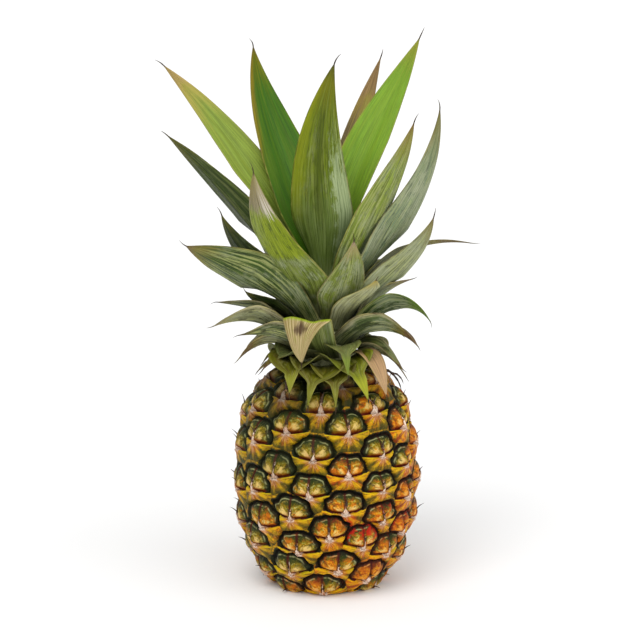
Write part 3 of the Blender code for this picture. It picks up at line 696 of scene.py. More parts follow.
    # the domes lie over the bracts above them: each place is taken by the dome that covers it
    middles = frames[:eyes, :3]
    far = (flat ** 2).sum(1)[:, None] + (middles ** 2).sum(1)[None] - 2 * flat @ middles.T
    near = np.argsort(far, axis=1)[:, :5]
    cover = np.full(len(flat), 9.0)
    lift_dome, share = np.zeros(len(flat)), np.zeros(len(flat))
    covers = np.zeros(near.shape)
    for k in range(near.shape[1]):
        _, _, over, dome, h_dome, _, _ = fields_at(flat, near[:, k])
        covers[:, k] = dome + 3.0 * smooth(-over, -0.02, 0.06)
        better = covers[:, k] < cover
        inside = smooth(over, -0.03, 0.03) * smooth(1.03 - dome, 0.0, 0.03)
        lift_dome = np.where(better, h_dome * frames[near[:, k], 15], lift_dome)
        share = np.where(better, inside, share)
        cover = np.where(better, covers[:, k], cover)
    below = np.minimum(own, eyes - 1)
    _, _, _, _, _, h_bract, ridge = fields_at(flat, below)
    rim = np.clip(1 - (1 - reach) / 0.30, 0, 1) ** 1.8
    polar = own >= eyes
    base_lift = np.where(polar, 0.25 * np.sin(reach * 40) * (reach > 0.45),
                         h_bract * frames[below, 15])
    base_lift = base_lift * (1 - rim) + 1.0 * rim
    base_lift = base_lift + 0.10 * wave_noise(flat, 1.3, 5, 2)
    base_lift = -0.9 + (base_lift + 0.9) * smooth(cover, 1.03, 1.16)
    lift = base_lift * (1 - share) + lift_dome * share
    lift = lift + np.where(polar, 0.0, 1.2 * ridge * (1 - rim))
    points = skin_point(ways, lift)
    # the scar of the stalk, a little hollow inside the rim it stands on
    around = np.hypot(points[:, 0], points[:, 1])
    points[:, 2] += np.where((points[:, 2] < 3.0) & (around < 22.0),
                             1.2 * smooth(22.0 - around, 0, 5), 0.0)

    # which eye each face belongs to, and where its corners are in that eye
    centre = flat[faces].mean(1)
    owner, least = face_cell.copy(), np.full(len(faces), 1.03)
    candidates = near[faces[:, 0]]
    for k in range(candidates.shape[1]):
        _, _, over, dome, _, _, _ = fields_at(centre, candidates[:, k])
        takes = (over > 0) & (dome < least)
        owner = np.where(takes, candidates[:, k], owner)
        least = np.where(takes, dome, least)
    in_dome = least < 1.03
    at = owner[:, None].repeat(3, 1)
    u, v, over, dome, _, _, _ = fields_at(flat[faces], at)
    other = np.full(faces.shape, 9.0)
    for k in range(near.shape[1]):
        other = np.where(near[faces, k] != at, np.minimum(other, covers[faces, k]), other)
    f = frames[at]
    plate = f[..., 22] > 0.5
    over, dome = np.where(plate, 1.0, over), np.where(plate, 0.5, dome)
    rho = np.where(in_dome[:, None], 0.0, reach[faces])
    obj = mesh_object("fruit_skin", points, faces, material, (
        ("eye_a", "CORNER", np.stack([u, v, rho, f[..., 16]], -1).reshape(-1, 4)),
        ("eye_b", "CORNER", np.stack([dome, over, f[..., 17], f[..., 22]], -1).reshape(-1, 4)),
        ("eye_c", "CORNER", np.stack([f[..., 18], f[..., 19], f[..., 20], f[..., 21]],
                                     -1).reshape(-1, 4)),
        ("eye_d", "CORNER", np.stack([other, other, other, other], -1).reshape(-1, 4))))
    return obj, tips


def skin_material():
    m = Sheet("pineapple_skin")
    u, v, rho, seed = m.attribute("eye_a")
    dome, over, rand, kind = m.attribute("eye_b")
    green, orange, red, flush = m.attribute("eye_c")
    other = m.attribute("eye_d")[0]
    here = m.vector(u, v, seed * 37.0)
    fine = m.noise(here, 9.0, 4.0, 0.6)
    broad = m.noise(here, 2.1, 2.0, 0.5)
    down = v - STAR
    turn = m.math("ARCTAN2", u, down)
    out = m.math("SQRT", u * u + down * down)
    ray = m.noise(m.vector(turn * 5.0, out * 1.1, seed * 37.0), 1.0, 4.0, 0.65)
    hair = m.noise(m.vector(turn * 17.0, out * 2.0, seed * 29.0), 1.0, 2.0, 0.6)
    ragged = fine - 0.5

    patch = m.noise(here, 3.2, 3.0, 0.65, 0.8)
    flip = m.step(u, -0.06, 0.06)
    hue = orange * 0.80 - 0.05 + (m.mix(flip, m.vector(rand, rand, rand), m.vector(
        seed, seed, seed)) - 0.5) * 0.7
    hue = m.math("ADD", hue, (patch - 0.5) * 2.2, clamp=True)
    leafy = m.math("SUBTRACT", 1.0, hue, clamp=True)

    # the dome: two full lobes beside the tip, cream to gold inside, green or brown to the outline
    cheek_u, cheek_v = abs(u) - 0.34, over - 0.36
    cheek = m.math("SQRT", cheek_u * cheek_u + cheek_v * cheek_v * 0.8) + (patch - 0.5) * 0.34
    heart_gold = m.mix(m.step(hue, 0.35, 0.75), "ecd69c", "f2c48a")
    mid_gold = m.mix(m.step(hue, 0.25, 0.70), "847430", "c4761e")
    inner = m.mix(m.step(cheek + (ray - 0.5) * 0.45, 0.04, 0.26), heart_gold, mid_gold)
    outer = m.mix(m.step(hue, 0.50, 1.0), "2f3a06", "74380c")
    col = m.mix(m.step(cheek + ragged * 0.24 + leafy * 0.14, 0.36, 0.62), inner, outer)
    # a pale ring near the outside of each lobe, a painted highlight, then a dark sepal line inside it
    lobe_ring = (cheek - 0.30 + ragged * 0.05).bell(0.035) * m.step(m.noise(here, 4.4, 2.0), 0.44, 0.58)
    col = m.mix(lobe_ring * 0.75, col, m.mix(m.step(hue, 0.3, 0.7), "b4b680", "ecc088"))
    lobe_ring = (cheek - 0.20 + ragged * 0.05).bell(0.028) * m.step(m.noise(here, 5.4, 2.0), 0.46, 0.58)
    col = m.mix(lobe_ring * 0.65, col, m.mix(m.step(hue, 0.3, 0.7), "2f3d12", "8a2f0e"))
    col = m.mix(m.step(m.noise(here, 6.5, 2.0, 0.7), 0.57, 0.68) * 0.7, col,
                m.mix(m.step(hue, 0.3, 0.7), "37420f", "8f4410"))
    col = m.mix(m.step(m.noise(here, 5.6, 3.0, 0.7, 1.0), 0.57, 0.66) * m.step(dome, 0.90, 0.4) * 0.65,
                col, "efd898")
    col = m.mix(m.step(hair, 0.55, 0.70) * 0.5 * m.step(dome, 0.85, 0.3), col, "f0d27c")
    rim_dark = m.step(dome + ragged * 0.25 + leafy * 0.12, 0.78, 0.95)
    col = m.mix(rim_dark * 0.9, col, m.mix(hue, "141c04", "2c1203"))
    glint = (dome + ragged * 0.05 - 0.83).bell(0.030) * m.step(m.noise(here, 3.0, 2.0), 0.40, 0.55)
    col = m.mix(glint * 0.75 * m.step(over, 0.15, 0.4), col, m.mix(m.step(hue, 0.4, 0.8), "aeb088",
                                                                 "e6bc90"))
    crease = (u - ragged * 0.14 + 0.03).bell(0.055) * m.step(over, 0.20, 0.50)
    col = m.mix(crease * 0.9, col, "4a1006")
    fork = (abs(turn) - 0.75 + ragged * 0.3).bell(0.07) * m.step(dome, 0.40, 0.65)
    col = m.mix(fork * 0.6, col, "2a1a08")
    warm = m.step(flush + ragged * 0.5 + (broad - 0.5) * 0.8, 0.25, 0.75) * m.step(over, 0.1, 0.5)
    col = m.mix(warm * m.step(patch, 0.42, 0.60) * 0.75, col, "c8380c")

    # the bract: a golden star with a tan heart, olive and orange between its arms
    low = -over
    body = m.mix(m.step(ray, 0.36, 0.62), "8a6c16", "e6b238")
    body = m.mix(m.step(hue, 0.26, 0.70) * 0.85, body, m.mix(m.step(ray, 0.35, 0.65), "c4560e",
                                                             "f4a03c"))
    body = m.mix(m.step(patch, 0.44, 0.58) * leafy * 0.8, body, m.mix(m.step(ray, 0.4, 0.6),
                                                                     "444c10", "7c7a20"))
    between = (abs(turn) - 2.06 + ragged * 0.3).bell(0.20) * m.step(out, 0.18, 0.45)
    body = m.mix(between * 0.85, body, m.mix(m.step(hue, 0.4, 0.8), "343e0c", "84390e"))
    arms = (abs(turn) - 1.68 + ragged * 0.25).bell(0.13) * m.step(out + (fine - 0.5) * 0.6, 1.05, 0.55)
    body = m.mix(arms * 0.8, body, m.mix(m.step(ray, 0.3, 0.7), "c49838", "f8d868"))
    arms = (abs(turn) - 2.44 + ragged * 0.4).bell(0.17) * m.step(out, 1.15, 0.75)
    body = m.mix(arms * 0.8, body, m.mix(m.step(hair, 0.35, 0.6), "b07c20", "f0c848"))
    heart = (u + ragged * 0.2).bell(0.13 + low * 0.07) * m.step(low, 1.0, 0.3)
    body = m.mix(heart * 0.85, body, m.mix(m.step(hair, 0.42, 0.60), "84482c", "e0b090"))
    body = m.mix(m.step(m.noise(here, 5.0, 3.0, 0.7), 0.56, 0.66) * 0.7, body, "55260e")
    body = m.mix(m.step(m.noise(here, 3.6, 4.0, 0.75, 0.8), 0.54, 0.64) * 0.75, body, m.mix(
        m.step(hue, 0.5, 0.9), "2c380c", "6e3410"))
    body = m.mix(m.step(m.noise(here, 6.0, 3.0, 0.7, 1.0), 0.58, 0.66) * 0.5, body, "e2b888")
    # painted shade: the low end of the bract, where it runs under the dome below, darkens to olive and
    # near black, sooner on greener eyes
    low_shade = m.step(low + ragged * 0.6 + leafy * 0.34, 0.60, 1.0)
    body = m.mix(low_shade * 0.85, body, m.mix(m.step(fine, 0.35, 0.65), "1c2406", "4a4c12"))
    body = m.mix(m.step(red + ragged * 0.6 + (broad - 0.5) * 0.8, 0.25, 0.85) * m.step(
        abs(u), 0.62, 0.20) * 0.85, body, "d2481f")
    crest = (over + 0.028 + ragged * 0.03).bell(0.024) * m.step(abs(u), 1.05, 0.9)
    body = m.mix(crest * 0.9, body, m.mix(leafy, "f3cf7e", "dccc70"))
    star = m.math("COSINE", (abs(turn) - 1.72) * 8.4) * 0.5 + 0.5
    star = m.step(star + (hair - 0.5) * 0.7, 0.45, 0.80) * m.step(out + ragged * 0.5, 0.95, 0.30)
    body = m.mix(star * 0.55, body, m.mix(m.step(hue, 0.4, 0.9), "e0c050", "f0a850"))
    core = m.step(out + (ray - 0.5) * 0.7, 0.54, 0.15)
    body = m.mix(core * 0.8, body, m.mix(m.step(hair, 0.40, 0.62), "b87c54", "f4d0b0"))
    col = m.mix(core * m.step(abs(u), 0.05, 0.14) * 0.6, col, "eec49c")
    is_dome = m.step(over, -0.012, 0.012)
    corner = m.mix(m.step(fine, 0.35, 0.65), "7c6a18", "dcac38")
    corner = m.mix(m.step(hue, 0.4, 0.9) * 0.7, corner, "bd6e26")
    corner = m.mix(m.step(patch, 0.48, 0.62) * leafy * 0.8, corner, "4d541a")
    col = m.mix(m.step(dome + ragged * 0.1, 1.14, 1.24), col, corner)
    col = m.mix(is_dome, body, col)

    # the dark slits beside the tip, and the tip itself
    thick = 0.17 - 0.12 * abs(u) + ragged * 0.10
    slit = m.step(over, 0.0, 0.012) * m.step(over - thick, 0.02, -0.02) * m.step(
        abs(u) + ragged * 0.15, 0.80, 0.62) * m.step(abs(u), 0.07, 0.11)
    slit = m.math("MULTIPLY", slit, m.step(rho, 0.97, 0.90), clamp=True)
    col = m.mix(slit * 0.97, col, "160603")
    near = m.step(over - thick - 0.08, 0.07, -0.05) * m.step(over, 0.0, 0.03) * m.step(
        abs(u), 0.75, 0.55)
    col = m.mix(near * 0.6, col, "7a230a")
    wide = m.math("MAXIMUM", 0.16 - over * 0.40 + (rand - 0.5) * 0.07, 0.022)
    bent = abs(u + ragged * 0.14 + (rand - 0.5) * over * 0.25)
    tip = m.step(bent - wide, 0.02, -0.02) * m.step(over, -0.15, -0.03) * m.step(
        over + seed * 0.4, 0.90, 0.60)
    blade = m.mix(m.step(hair + ragged * 0.5, 0.36, 0.56), "c08c6c", "fff2e2")
    col = m.mix(tip * 0.95, col, blade)
    edge_line = (bent - wide - 0.022).bell(0.020) * m.step(over, 0.0, 0.06) * m.step(
        over, 0.70, 0.5)
    col = m.mix(edge_line * 0.8, col, "40150a")

    # the outline of the dome, near black, painted shade in the groove round it, and the faint lines
    # where two bracts meet
    ring = 0.045 + (patch - 0.5) * 0.12 + m.step(over, 0.2, 0.7) * 0.022
    ring = m.math("MAXIMUM", ring, 0.022)
    shade = m.step(abs(dome + ragged * 0.16 - 1.01) - ring, 0.035, -0.01) * is_dome
    shade = m.math("MAXIMUM", shade, m.step(other + ragged * 0.16, 1.09, 1.05))
    dusk = m.mix(m.step(orange + (broad - 0.5) * 0.6, 0.55, 1.05), m.mix(m.step(
        fine, 0.45, 0.75), "070401", "20190a"), m.mix(m.step(fine, 0.45, 0.75), "260f02", "5a2c08"))
    col = m.mix(shade * 0.97, col, dusk)
    seam = m.step(rho + ragged * 0.05, 0.965, 0.99)
    col = m.mix(seam * 0.35, col, "2c2a0e")
    # greener eyes tint to dark green; past 1 the green value is painted shade under the crown,
    # darkened to near black
    col = m.mix(m.step(green + ragged * 0.4, 0.60, 1.2) * 0.30, col, "2a340c")
    col = m.mix(m.step(green + ragged * 0.8, 1.1, 1.8) * 0.55, col, "11180a")
    col = m.deepen(col, 1.06, 1.26, 0.4925)

    # the scar under the fruit and the plate under the crown
    far = m.noise(m.place(), 900.0, 3.0, 0.6)
    wood = m.mix(m.step(far, 0.35, 0.65), "7a5527", "bd9a5c")
    wood = m.mix(m.step(rho, 0.30, 0.62), wood, m.mix(m.step(far, 0.4, 0.6), "2c2410", "6b5a24"))
    col = m.mix(kind, col, m.mix(m.step(other, 1.24, 1.08), wood, "0d0d06"))

    rough = 0.40 + 0.26 * fine
    rough = rough + shade * 0.35
    height = ray * 0.5 + hair * 0.45 + fine * 0.6 + patch * 0.5
    return m.finish(col, rough, height, depth=0.0009, specular=0.18, strength=1.0)


def build_points(tips, material):
    """The dry thorn at the end of each bract, standing off the skin."""
    rng = np.random.default_rng(4)
    points, faces, shade = [], [], []
    for unit, right, up, xh, yh, size, rand, base, az in tips:
        normal = np.cross(right, up)
        if normal @ np.array([math.sin(az), -math.cos(az), 0.15]) < 0:
            normal = -normal
        root = skin_point(unit, 0.0)
        root = root + up * 0.36 * yh + normal * 2.9 * size
        length = (4.6 + 4.8 * rng.random()) * size
        lean = 0.35 + 0.45 * rng.random()
        side = (rng.random() - 0.5) * 0.9
        steps, sides = 7, 6
        start = len(points)
        for k in range(steps):
            f = k / (steps - 1)
            centre = root + up * length * f * (1 - 0.25 * f) + normal * length * lean * f ** 1.5
            centre = centre + right * side * length * f * f * 0.5
            half = 1.05 * (1 - f) ** 0.8 + 0.08
            for a in range(sides):
                t = 2 * math.pi * a / sides
                p = centre + right * half * 1.1 * math.cos(t) + normal * half * 0.55 * math.sin(t)
                points.append(np.array([p[0], p[1], max(p[2], 0.1)]))
                shade.append((f, rand[0], rand[1], 1.0))
        for k in range(steps - 1):
            for a in range(sides):
                b = (a + 1) % sides
                i, j = start + k * sides + a, start + k * sides + b
                faces += [(i, j, j + sides), (i, j + sides, i + sides)]
        for cap, flip in ((start, True), (start + (steps - 1) * sides, False)):
            for a in range(1, sides - 1):
                tri = (cap, cap + a, cap + a + 1)
                faces.append(tri[::-1] if flip else tri)
    # a dried thread that lies over the right shoulder, and its short branch
    for path, thick in (
            (((34.5, -7, 139.0), (38.8, -6, 138.2), (42.6, -5, 134.8), (45.8, -5, 129.8),
              (47.4, -6, 124.4)), 0.95),
            (((40.6, -5.6, 136.6), (44.4, -3, 135.2), (47.4, -1, 131.6), (48.6, 0, 128.4)), 0.7)):
        path = [np.array(q, float) for q in path]
        path = [2 * path[0] - path[1]] + path + [2 * path[-1] - path[-2]]
        line = [catmull(*path[k:k + 4], f) for k in range(len(path) - 3) for f in (
            0.0, 0.25, 0.5, 0.75)] + [path[-2]]
        sides, start = 6, len(points)
        for k, centre in enumerate(line):
            f = k / (len(line) - 1)
            ahead = line[min(k + 1, len(line) - 1)] - line[max(k - 1, 0)]
            across = np.cross(ahead, [0.0, 1.0, 0.0])
            across = across / np.linalg.norm(across)
            third = np.cross(ahead, across)
            third = third / np.linalg.norm(third)
            half = thick * (1 - 0.85 * f ** 1.5) * (1 + 0.18 * math.sin(k * 2.1))
            for a in range(sides):
                t = 2 * math.pi * a / sides
                points.append(centre + (across * math.cos(t) + third * 0.6 * math.sin(t)) * half)
                shade.append((0.45 + 0.4 * f, 0.3, 0.6, 1.0))
        for k in range(len(line) - 1):
            for a in range(sides):
                b = (a + 1) % sides
                i, j = start + k * sides + a, start + k * sides + b
                faces += [(i, j + sides, j), (i, i + sides, j + sides)]
        for cap, flip in ((start, False), (start + (len(line) - 1) * sides, True)):
            for a in range(1, sides - 1):
                tri = (cap, cap + a, cap + a + 1)
                faces.append(tri[::-1] if flip else tri)
    return mesh_object("bract_thorns", points, faces, material, (("thorn", "POINT", shade),))


def thorn_material():
    m = Sheet("dry_thorn")
    f, rand, _, _ = m.attribute("thorn")
    grain = m.noise(m.place(), 1400.0, 3.0, 0.6)
    col = m.mix(m.step(f, 0.0, 0.25), "b08a60", "35241a")
    col = m.mix(m.step(f, 0.45, 0.95), col, "1d150d")
    col = m.mix(m.step(grain, 0.4, 0.7) * 0.4, col, "7b5a3a")
    return m.finish(col, 0.7, grain, depth=0.0002, specular=0.3)


# --------------------------------------------------------------------------------------- crown
# finish of each leaf: inner green, outer green, waxy bloom 0-1, pale stripes 0-1, share of the
# length that is green before the dry end, colour of the dry end, how pale the whole leaf is
LOOKS = {
    "leaf_01": ("88a850", "789848", 0.05, 0.10, 0.985, "9a8c54", 0.0),
    "leaf_02": ("5f7a1c", "6e7e1c", 0.20, 0.25, 0.93, "5c6006", 0.0),
    "leaf_03": ("4a7812", "4c6c26", 0.05, 0.18, 0.96, "7d6a32", 0.0),
    "leaf_04": ("9a9a5c", "929058", 0.10, 0.60, 0.80, "8e7654", 0.05),
    "leaf_06": ("94a65c", "5f7f34", 0.06, 0.15, 0.88, "b4a070", 0.0),
    "leaf_07": ("7a944a", "8c9c50", 0.40, 0.55, 0.95, "8a704a", 0.05),
    "leaf_08": ("7f9a68", "84967a", 0.70, 0.50, 0.97, "6c5e40", 0.10),
    "leaf_11": ("7a9a3c", "76863c", 0.45, 0.25, 0.995, "8f8058", 0.05),
    "leaf_12": ("344618", "3c4c1a", 0.10, 0.15, 0.98, "3e3628", 0.0),
    "leaf_14": ("6f8a44", "7c8c40", 0.55, 0.50, 0.94, "b09c88", 0.10),
    "leaf_15": ("5f6f3a", "5f6038", 0.20, 0.40, 0.80, "6b5c38", 0.05),
    "leaf_16": ("2e3e14", "38461c", 0.15, 0.10, 0.98, "352d22", 0.0),
    "leaf_17": ("8f9c70", "8a9470", 0.60, 0.65, 0.95, "73624a", 0.20),
    "leaf_20": ("445c24", "4c6030", 0.36, 0.60, 0.93, "7a6c4c", 0.0),
    "leaf_21": ("b0b488", "b0b488", 0.50, 0.70, 0.96, "b8a468", 0.40),
    "leaf_23": ("263a14", "2c3c18", 0.18, 0.12, 0.97, "2f281c", 0.0),
    "leaf_24": ("8c9870", "8c9278", 0.55, 1.00, 0.86, "8f7c60", 0.35),
    "leaf_27": ("5f8a2c", "5a7040", 0.60, 0.70, 1.2, "8fb03a", 0.0),
    "leaf_28": ("3c5226", "46582e", 0.40, 0.80, 0.93, "4e4230", 0.05),
    "leaf_29": ("9a8f62", "7f8c50", 0.40, 0.50, 2.0, "8c755c", 0.0),
    "leaf_30": ("54702e", "586c40", 0.60, 0.85, 0.78, "6c543c", 0.05),
    "leaf_32": ("9aa37c", "969c78", 0.60, 1.00, 0.90, "a49c80", 0.30),
    "leaf_35": ("50622e", "566440", 0.55, 0.90, 0.90, "5a4c38", 0.08),
    "leaf_37": ("84845c", "888868", 0.50, 0.90, 0.72, "8d7a5c", 0.25),
    "leaf_39": ("7c8854", "7c8664", 0.50, 0.50, 1.2, "8a9c4c", 0.12),
    "leaf_40": ("8a945c", "7f875c", 0.50, 0.45, 0.88, "644c32", 0.12),
    "leaf_42": ("84905c", "7a845c", 0.50, 0.55, 0.85, "644c32", 0.12),
    "leaf_43": ("c8a888", "c4a280", 0.05, 0.90, 2.0, "ccaa8c", 0.10),
    "leaf_45": ("868e38", "828a38", 0.30, 0.80, 1.2, "bcbe5c", 0.0),
    "leaf_48": ("74742e", "727230", 0.30, 0.60, 1.2, "a0a352", 0.0),
    "leaf_50": ("74742e", "727230", 0.30, 0.60, 1.2, "a0a352", 0.0),
    "leaf_52": ("76722e", "747030", 0.25, 0.60, 1.2, "a0a352", 0.0),
}
YOUNG = ("5c7c24", "5a742c", 0.25, 0.30, 0.95, "7d6a40", 0.0)
OLDER = ("4c6428", "546434", 0.40, 0.50, 0.92, "6c5a3c", 0.03)
OLDEST = ("74783a", "72763a", 0.35, 0.50, 0.88, "7d6c48", 0.08)


def leaf_material(number):
    name = LEAVES[number][0]
    inner, outer, bloom, stripes, green_to, dry, pale = LOOKS.get(
        name[:7], YOUNG if number < 14 else OLDER if number < 34 else OLDEST)
    wide, order = LEAVES[number][5] / 2, number * 3.71
    m = Sheet(name + "_finish")
    s, t, face, depth = m.attribute("leaf")
    long = LEAVES[number][3] * 0.5 + (LEAVES[number][4] - 150) * 0.7 + 30
    vein = m.noise(m.vector(s * wide * 1.5, t * long * 0.03, order), 1.0, 3.0, 0.6)
    band = m.noise(m.vector(s * wide * 0.42, t * long * 0.016, order + 9), 1.0, 3.0, 0.55)
    cloud = m.noise(m.vector(s * 1.5, t * long * 0.045, order + 21), 1.0, 4.0, 0.6)
    mottle = m.noise(m.vector(s * wide * 0.5, t * long * 0.12, order + 33), 1.0, 4.0, 0.7)

    def shade(colour, gain, mixed="ffffff", part=0.0):
        rgb = linear(colour)
        other = linear(mixed)
        return tuple(min(a * gain * (1 - part) + b * part, 1.0) for a, b in zip(rgb[:3], other)) + (
            1.0,)

    strand = m.noise(m.vector(s * wide * 0.95, t * long * 0.022, order + 50), 1.0, 3.0, 0.7)
    rub = m.noise(m.vector(s * wide * 0.42, t * long * 0.07, order + 61), 1.0, 5.0, 0.78)
    up = m.mix(m.step(vein, 0.32, 0.68), shade(inner, 0.70), shade(inner, 1.16))
    up = m.mix(m.step(band, 0.35, 0.70) * 0.45, up, shade(inner, 0.9, "c8c860", 0.22))
    up = m.mix(m.step(cloud, 0.45, 0.75) * bloom * 0.5, up, shade(outer, 1.1, "b4bda8", 0.35))
    up = m.mix(m.step(strand, 0.50, 0.60) * stripes * 0.5, up, shade(inner, 0.55))
    under = m.mix(m.step(vein, 0.30, 0.66), shade(outer, 0.50), shade(outer, 1.20))
    under = m.mix(m.step(strand, 0.47, 0.58) * stripes * 1.1, under, shade("c4c890", 0.95))
    dark = m.step(mottle, 0.52, 0.64) * m.step(abs(s), 1.0, 0.30)
    under = m.mix(dark * (0.35 + 0.5 * stripes), under, shade(outer, 0.34))
    wax = m.step(cloud + (mottle - 0.5) * 0.7, 0.55 - 0.25 * bloom, 0.70 - 0.15 * bloom)
    under = m.mix(wax * min(bloom * 1.2, 0.85), under, m.mix(m.step(vein, 0.35, 0.65), "7f8a6e",
                                                            "bcc0a6"))
    worn = m.step(rub, 0.535, 0.60) * min(0.25 + bloom * 1.1, 0.85)
    under = m.mix(worn, under, m.mix(m.step(vein, 0.4, 0.6), shade(outer, 0.30), shade(outer, 0.75)))
    col = m.mix(face, under, up)
    col = m.mix(pale * 0.75, col, m.mix(m.step(vein, 0.35, 0.65), "b3ae8c", "d9d5bc"))
    if name.startswith("leaf_11"):
        # a green band with torn edges between the grey upper half and the waxy base
        rag = t + (mottle - 0.5) * 0.16 + (vein - 0.5) * 0.07 + (strand - 0.5) * 0.12
        lit = m.step(rag, 0.50, 0.55) * m.step(rag, 0.84, 0.77)
        green = m.mix(m.step(vein, 0.3, 0.7), "74842c", "a0ac4c")
        green = m.mix(m.step(rub, 0.52, 0.60) * 0.8, green, "56641c")
        col = m.mix(lit * 0.92, col, green)
        grey = m.step(rag, 0.77, 0.84)
        # painted highlight: the grey upper half turns paler, near white, towards one edge
        highlight_side = m.step(s + (strand - 0.5) * 0.9, -0.1, 0.7)
        col = m.mix(grey * 0.88, col, m.mix(m.step(strand + (vein - 0.5) * 0.5, 0.40, 0.60), m.mix(
            highlight_side, "7a7058", "b8ac9c"), m.mix(highlight_side, "a89c84", "ece4da")))
    if name.startswith("leaf_02"):
        waxy = m.step(t + (mottle - 0.5) * 0.4 + (strand - 0.5) * 0.3, 0.62, 0.30)
        col = m.mix(waxy * 0.5, col, m.mix(m.step(vein, 0.35, 0.65), "6c8050", "98a880"))
        streak = (s - 0.02 + (mottle - 0.5) * 0.25).bell(0.16) * m.step(t, 0.22, 0.45) * m.step(
            t, 0.95, 0.72)
        col = m.mix(streak * 0.55, col, "47521c")
        lit = m.step(s * -1.0 + (mottle - 0.5), 0.30, 0.75) * m.step(t, 0.25, 0.5)
        col = m.mix(lit * 0.55, col, "98a030")
        lit = m.step(s + (mottle - 0.5) * 0.9, 0.42, 0.60) * m.step(t + (rub - 0.5), 0.80, 0.55)
        col = m.mix(lit * 0.8, col, m.mix(m.step(vein, 0.35, 0.65), "93a07c", "bcc8a4"))
    if name.startswith("leaf_27"):
        lit = m.step(t + (mottle - 0.5) * 0.25, 0.66, 0.80)
        col = m.mix(lit * 0.6, col, m.mix(m.step(vein, 0.35, 0.65), "66882c", "8fae48"))
    if name[:7] in ("leaf_24", "leaf_28", "leaf_30", "leaf_32", "leaf_35", "leaf_37", "leaf_40"):
        # worn leaves: pale dry margins and dark stained streaks
        frayed = m.step(abs(s) + (mottle - 0.5) * 0.5 + (strand - 0.5) * 0.5, 0.72, 0.92)
        col = m.mix(frayed * 0.7, col, m.mix(m.step(vein, 0.35, 0.65), "8c8468", "d0c8a8"))
        stained = m.step(rub + (strand - 0.5) * 0.4, 0.54, 0.62) * m.step(t, 0.25, 0.45)
        col = m.mix(stained * 0.6, col, "2c2c18")
    if name.startswith("leaf_03"):
        edge = m.step(s + (vein - 0.5) * 0.5 + (t - 0.75) * 0.9, 0.55, 0.85) * m.step(t, 0.45, 0.65)
        col = m.mix(edge * 0.75, col, m.mix(m.step(strand, 0.4, 0.6), "7c6c34", "b0984c"))
    if name.startswith("leaf_04"):
        edge = m.step(s + (strand - 0.5) * 0.8, 0.05, 0.45) * m.step(t, 0.45, 0.60)
        col = m.mix(edge * 0.8, col, m.mix(m.step(vein, 0.4, 0.6), "4c3a2a", "7d6650"))
    if name.startswith("leaf_29"):
        # the hanging end: dry and tan with a brown patch, and a green fringe along the fold
        hung = m.step(t, 0.485, 0.495)
        dry_side = m.mix(m.step(strand + (vein - 0.5) * 0.6, 0.38, 0.62), "98885e", "ccbc98")
        dry_side = m.mix(m.step(mottle, 0.50, 0.62) * 0.5, dry_side, "97975c")
        stain = m.step((abs(s + 0.2) * 1.3 + abs(t - 0.63) * 5.0) + (rub - 0.5) * 1.6, 0.70, 0.15)
        dry_side = m.mix(stain * 0.85, dry_side, "4a3428")
        fringe = m.step(t + (mottle - 0.5) * 0.07, 0.55, 0.51)
        dry_side = m.mix(fringe * 0.85, dry_side, "9cb048")
        col = m.mix(hung, col, dry_side)
    if name[:7] in SHOULDER | {"leaf_39"}:
        fibre = m.step(strand + (vein - 0.5) * 0.5, 0.42, 0.60)
        col = m.mix(fibre * 0.45, col, "3f431c")
        col = m.mix(m.step(rub, 0.50, 0.58) * 0.45, col, "a8a474")
        col = m.mix(m.step(mottle, 0.53, 0.62) * 0.5, col, "5c4c28")
        pale_rim = m.step(abs(s) + (mottle - 0.5) * 0.30, 0.80, 1.0) * m.step(
            t + (rub - 0.5) * 0.5, 0.50, 0.80)
        col = m.mix(pale_rim * 0.7, col, m.mix(m.step(vein, 0.35, 0.65), "8a8a54", "c4c088"))
        tipped = m.step(t + (mottle - 0.5) * 0.10, 0.60, 0.80)
        col = m.mix(tipped * (0.35 if name[:7] in ("leaf_50", "leaf_52") else 0.65), col, m.mix(
            m.step(vein, 0.35, 0.65), shade(dry, 0.8),
                                            shade(dry, 1.15)))
    end = t + (vein - 0.5) * 0.10 + (mottle - 0.5) * 0.08 + abs(s) * 0.03
    warm = m.step(end + (band - 0.5) * 0.35, green_to - 0.16, green_to + 0.04) * 0.7
    col = m.mix(warm, col, m.mix(m.step(vein, 0.35, 0.65), shade(dry, 0.9, "a8a040", 0.35),
                                 shade(dry, 1.15, "c8c060", 0.25)))
    dried = m.mix(m.step(strand + (vein - 0.5) * 0.7, 0.36, 0.60), shade(dry, 0.62), shade(
        dry, 1.25, "d8c8a0", 0.12))
    col = m.mix(m.step(end, green_to, green_to + 0.06), col, dried)
    col = m.mix(m.step(t, 0.975, 1.0), col, "3c2c1e")
    margin = m.step(abs(s) + (mottle - 0.5) * 0.02, 0.93, 0.985)
    if name[:7] in SHOULDER:
        margin = margin * m.step(t, 0.5, 0.8)
    col = m.mix(margin * 0.6, col, m.mix(m.step(mottle, 0.4, 0.6), shade(dry, 0.7),
                                         shade("b9b070", 0.9)))
    foot = m.step(t + (vein - 0.5) * 0.06, 0.20, 0.02)
    col = m.mix(foot * (0.75 if number < 12 else 0.35), col, m.mix(
        m.step(vein, 0.35, 0.65), "9aa070", "cdd0a6"))
    shadow = m.step(t + (mottle - 0.5) * 0.2, 0.52, 0.12) * (
        0.45 if number > 36 else 0.50 if number > 20 else 0.25)
    col = m.mix(shadow, col, "1f2410")
    col = m.deepen(col, 1.14, 1.14)
    rough = 0.42 + 0.16 * mottle + 0.10 * bloom
    height = vein * 0.8 + band * 0.3 + mottle * 0.25
    return m.finish(col, rough, height, depth=0.0006, specular=0.25, strength=0.8)


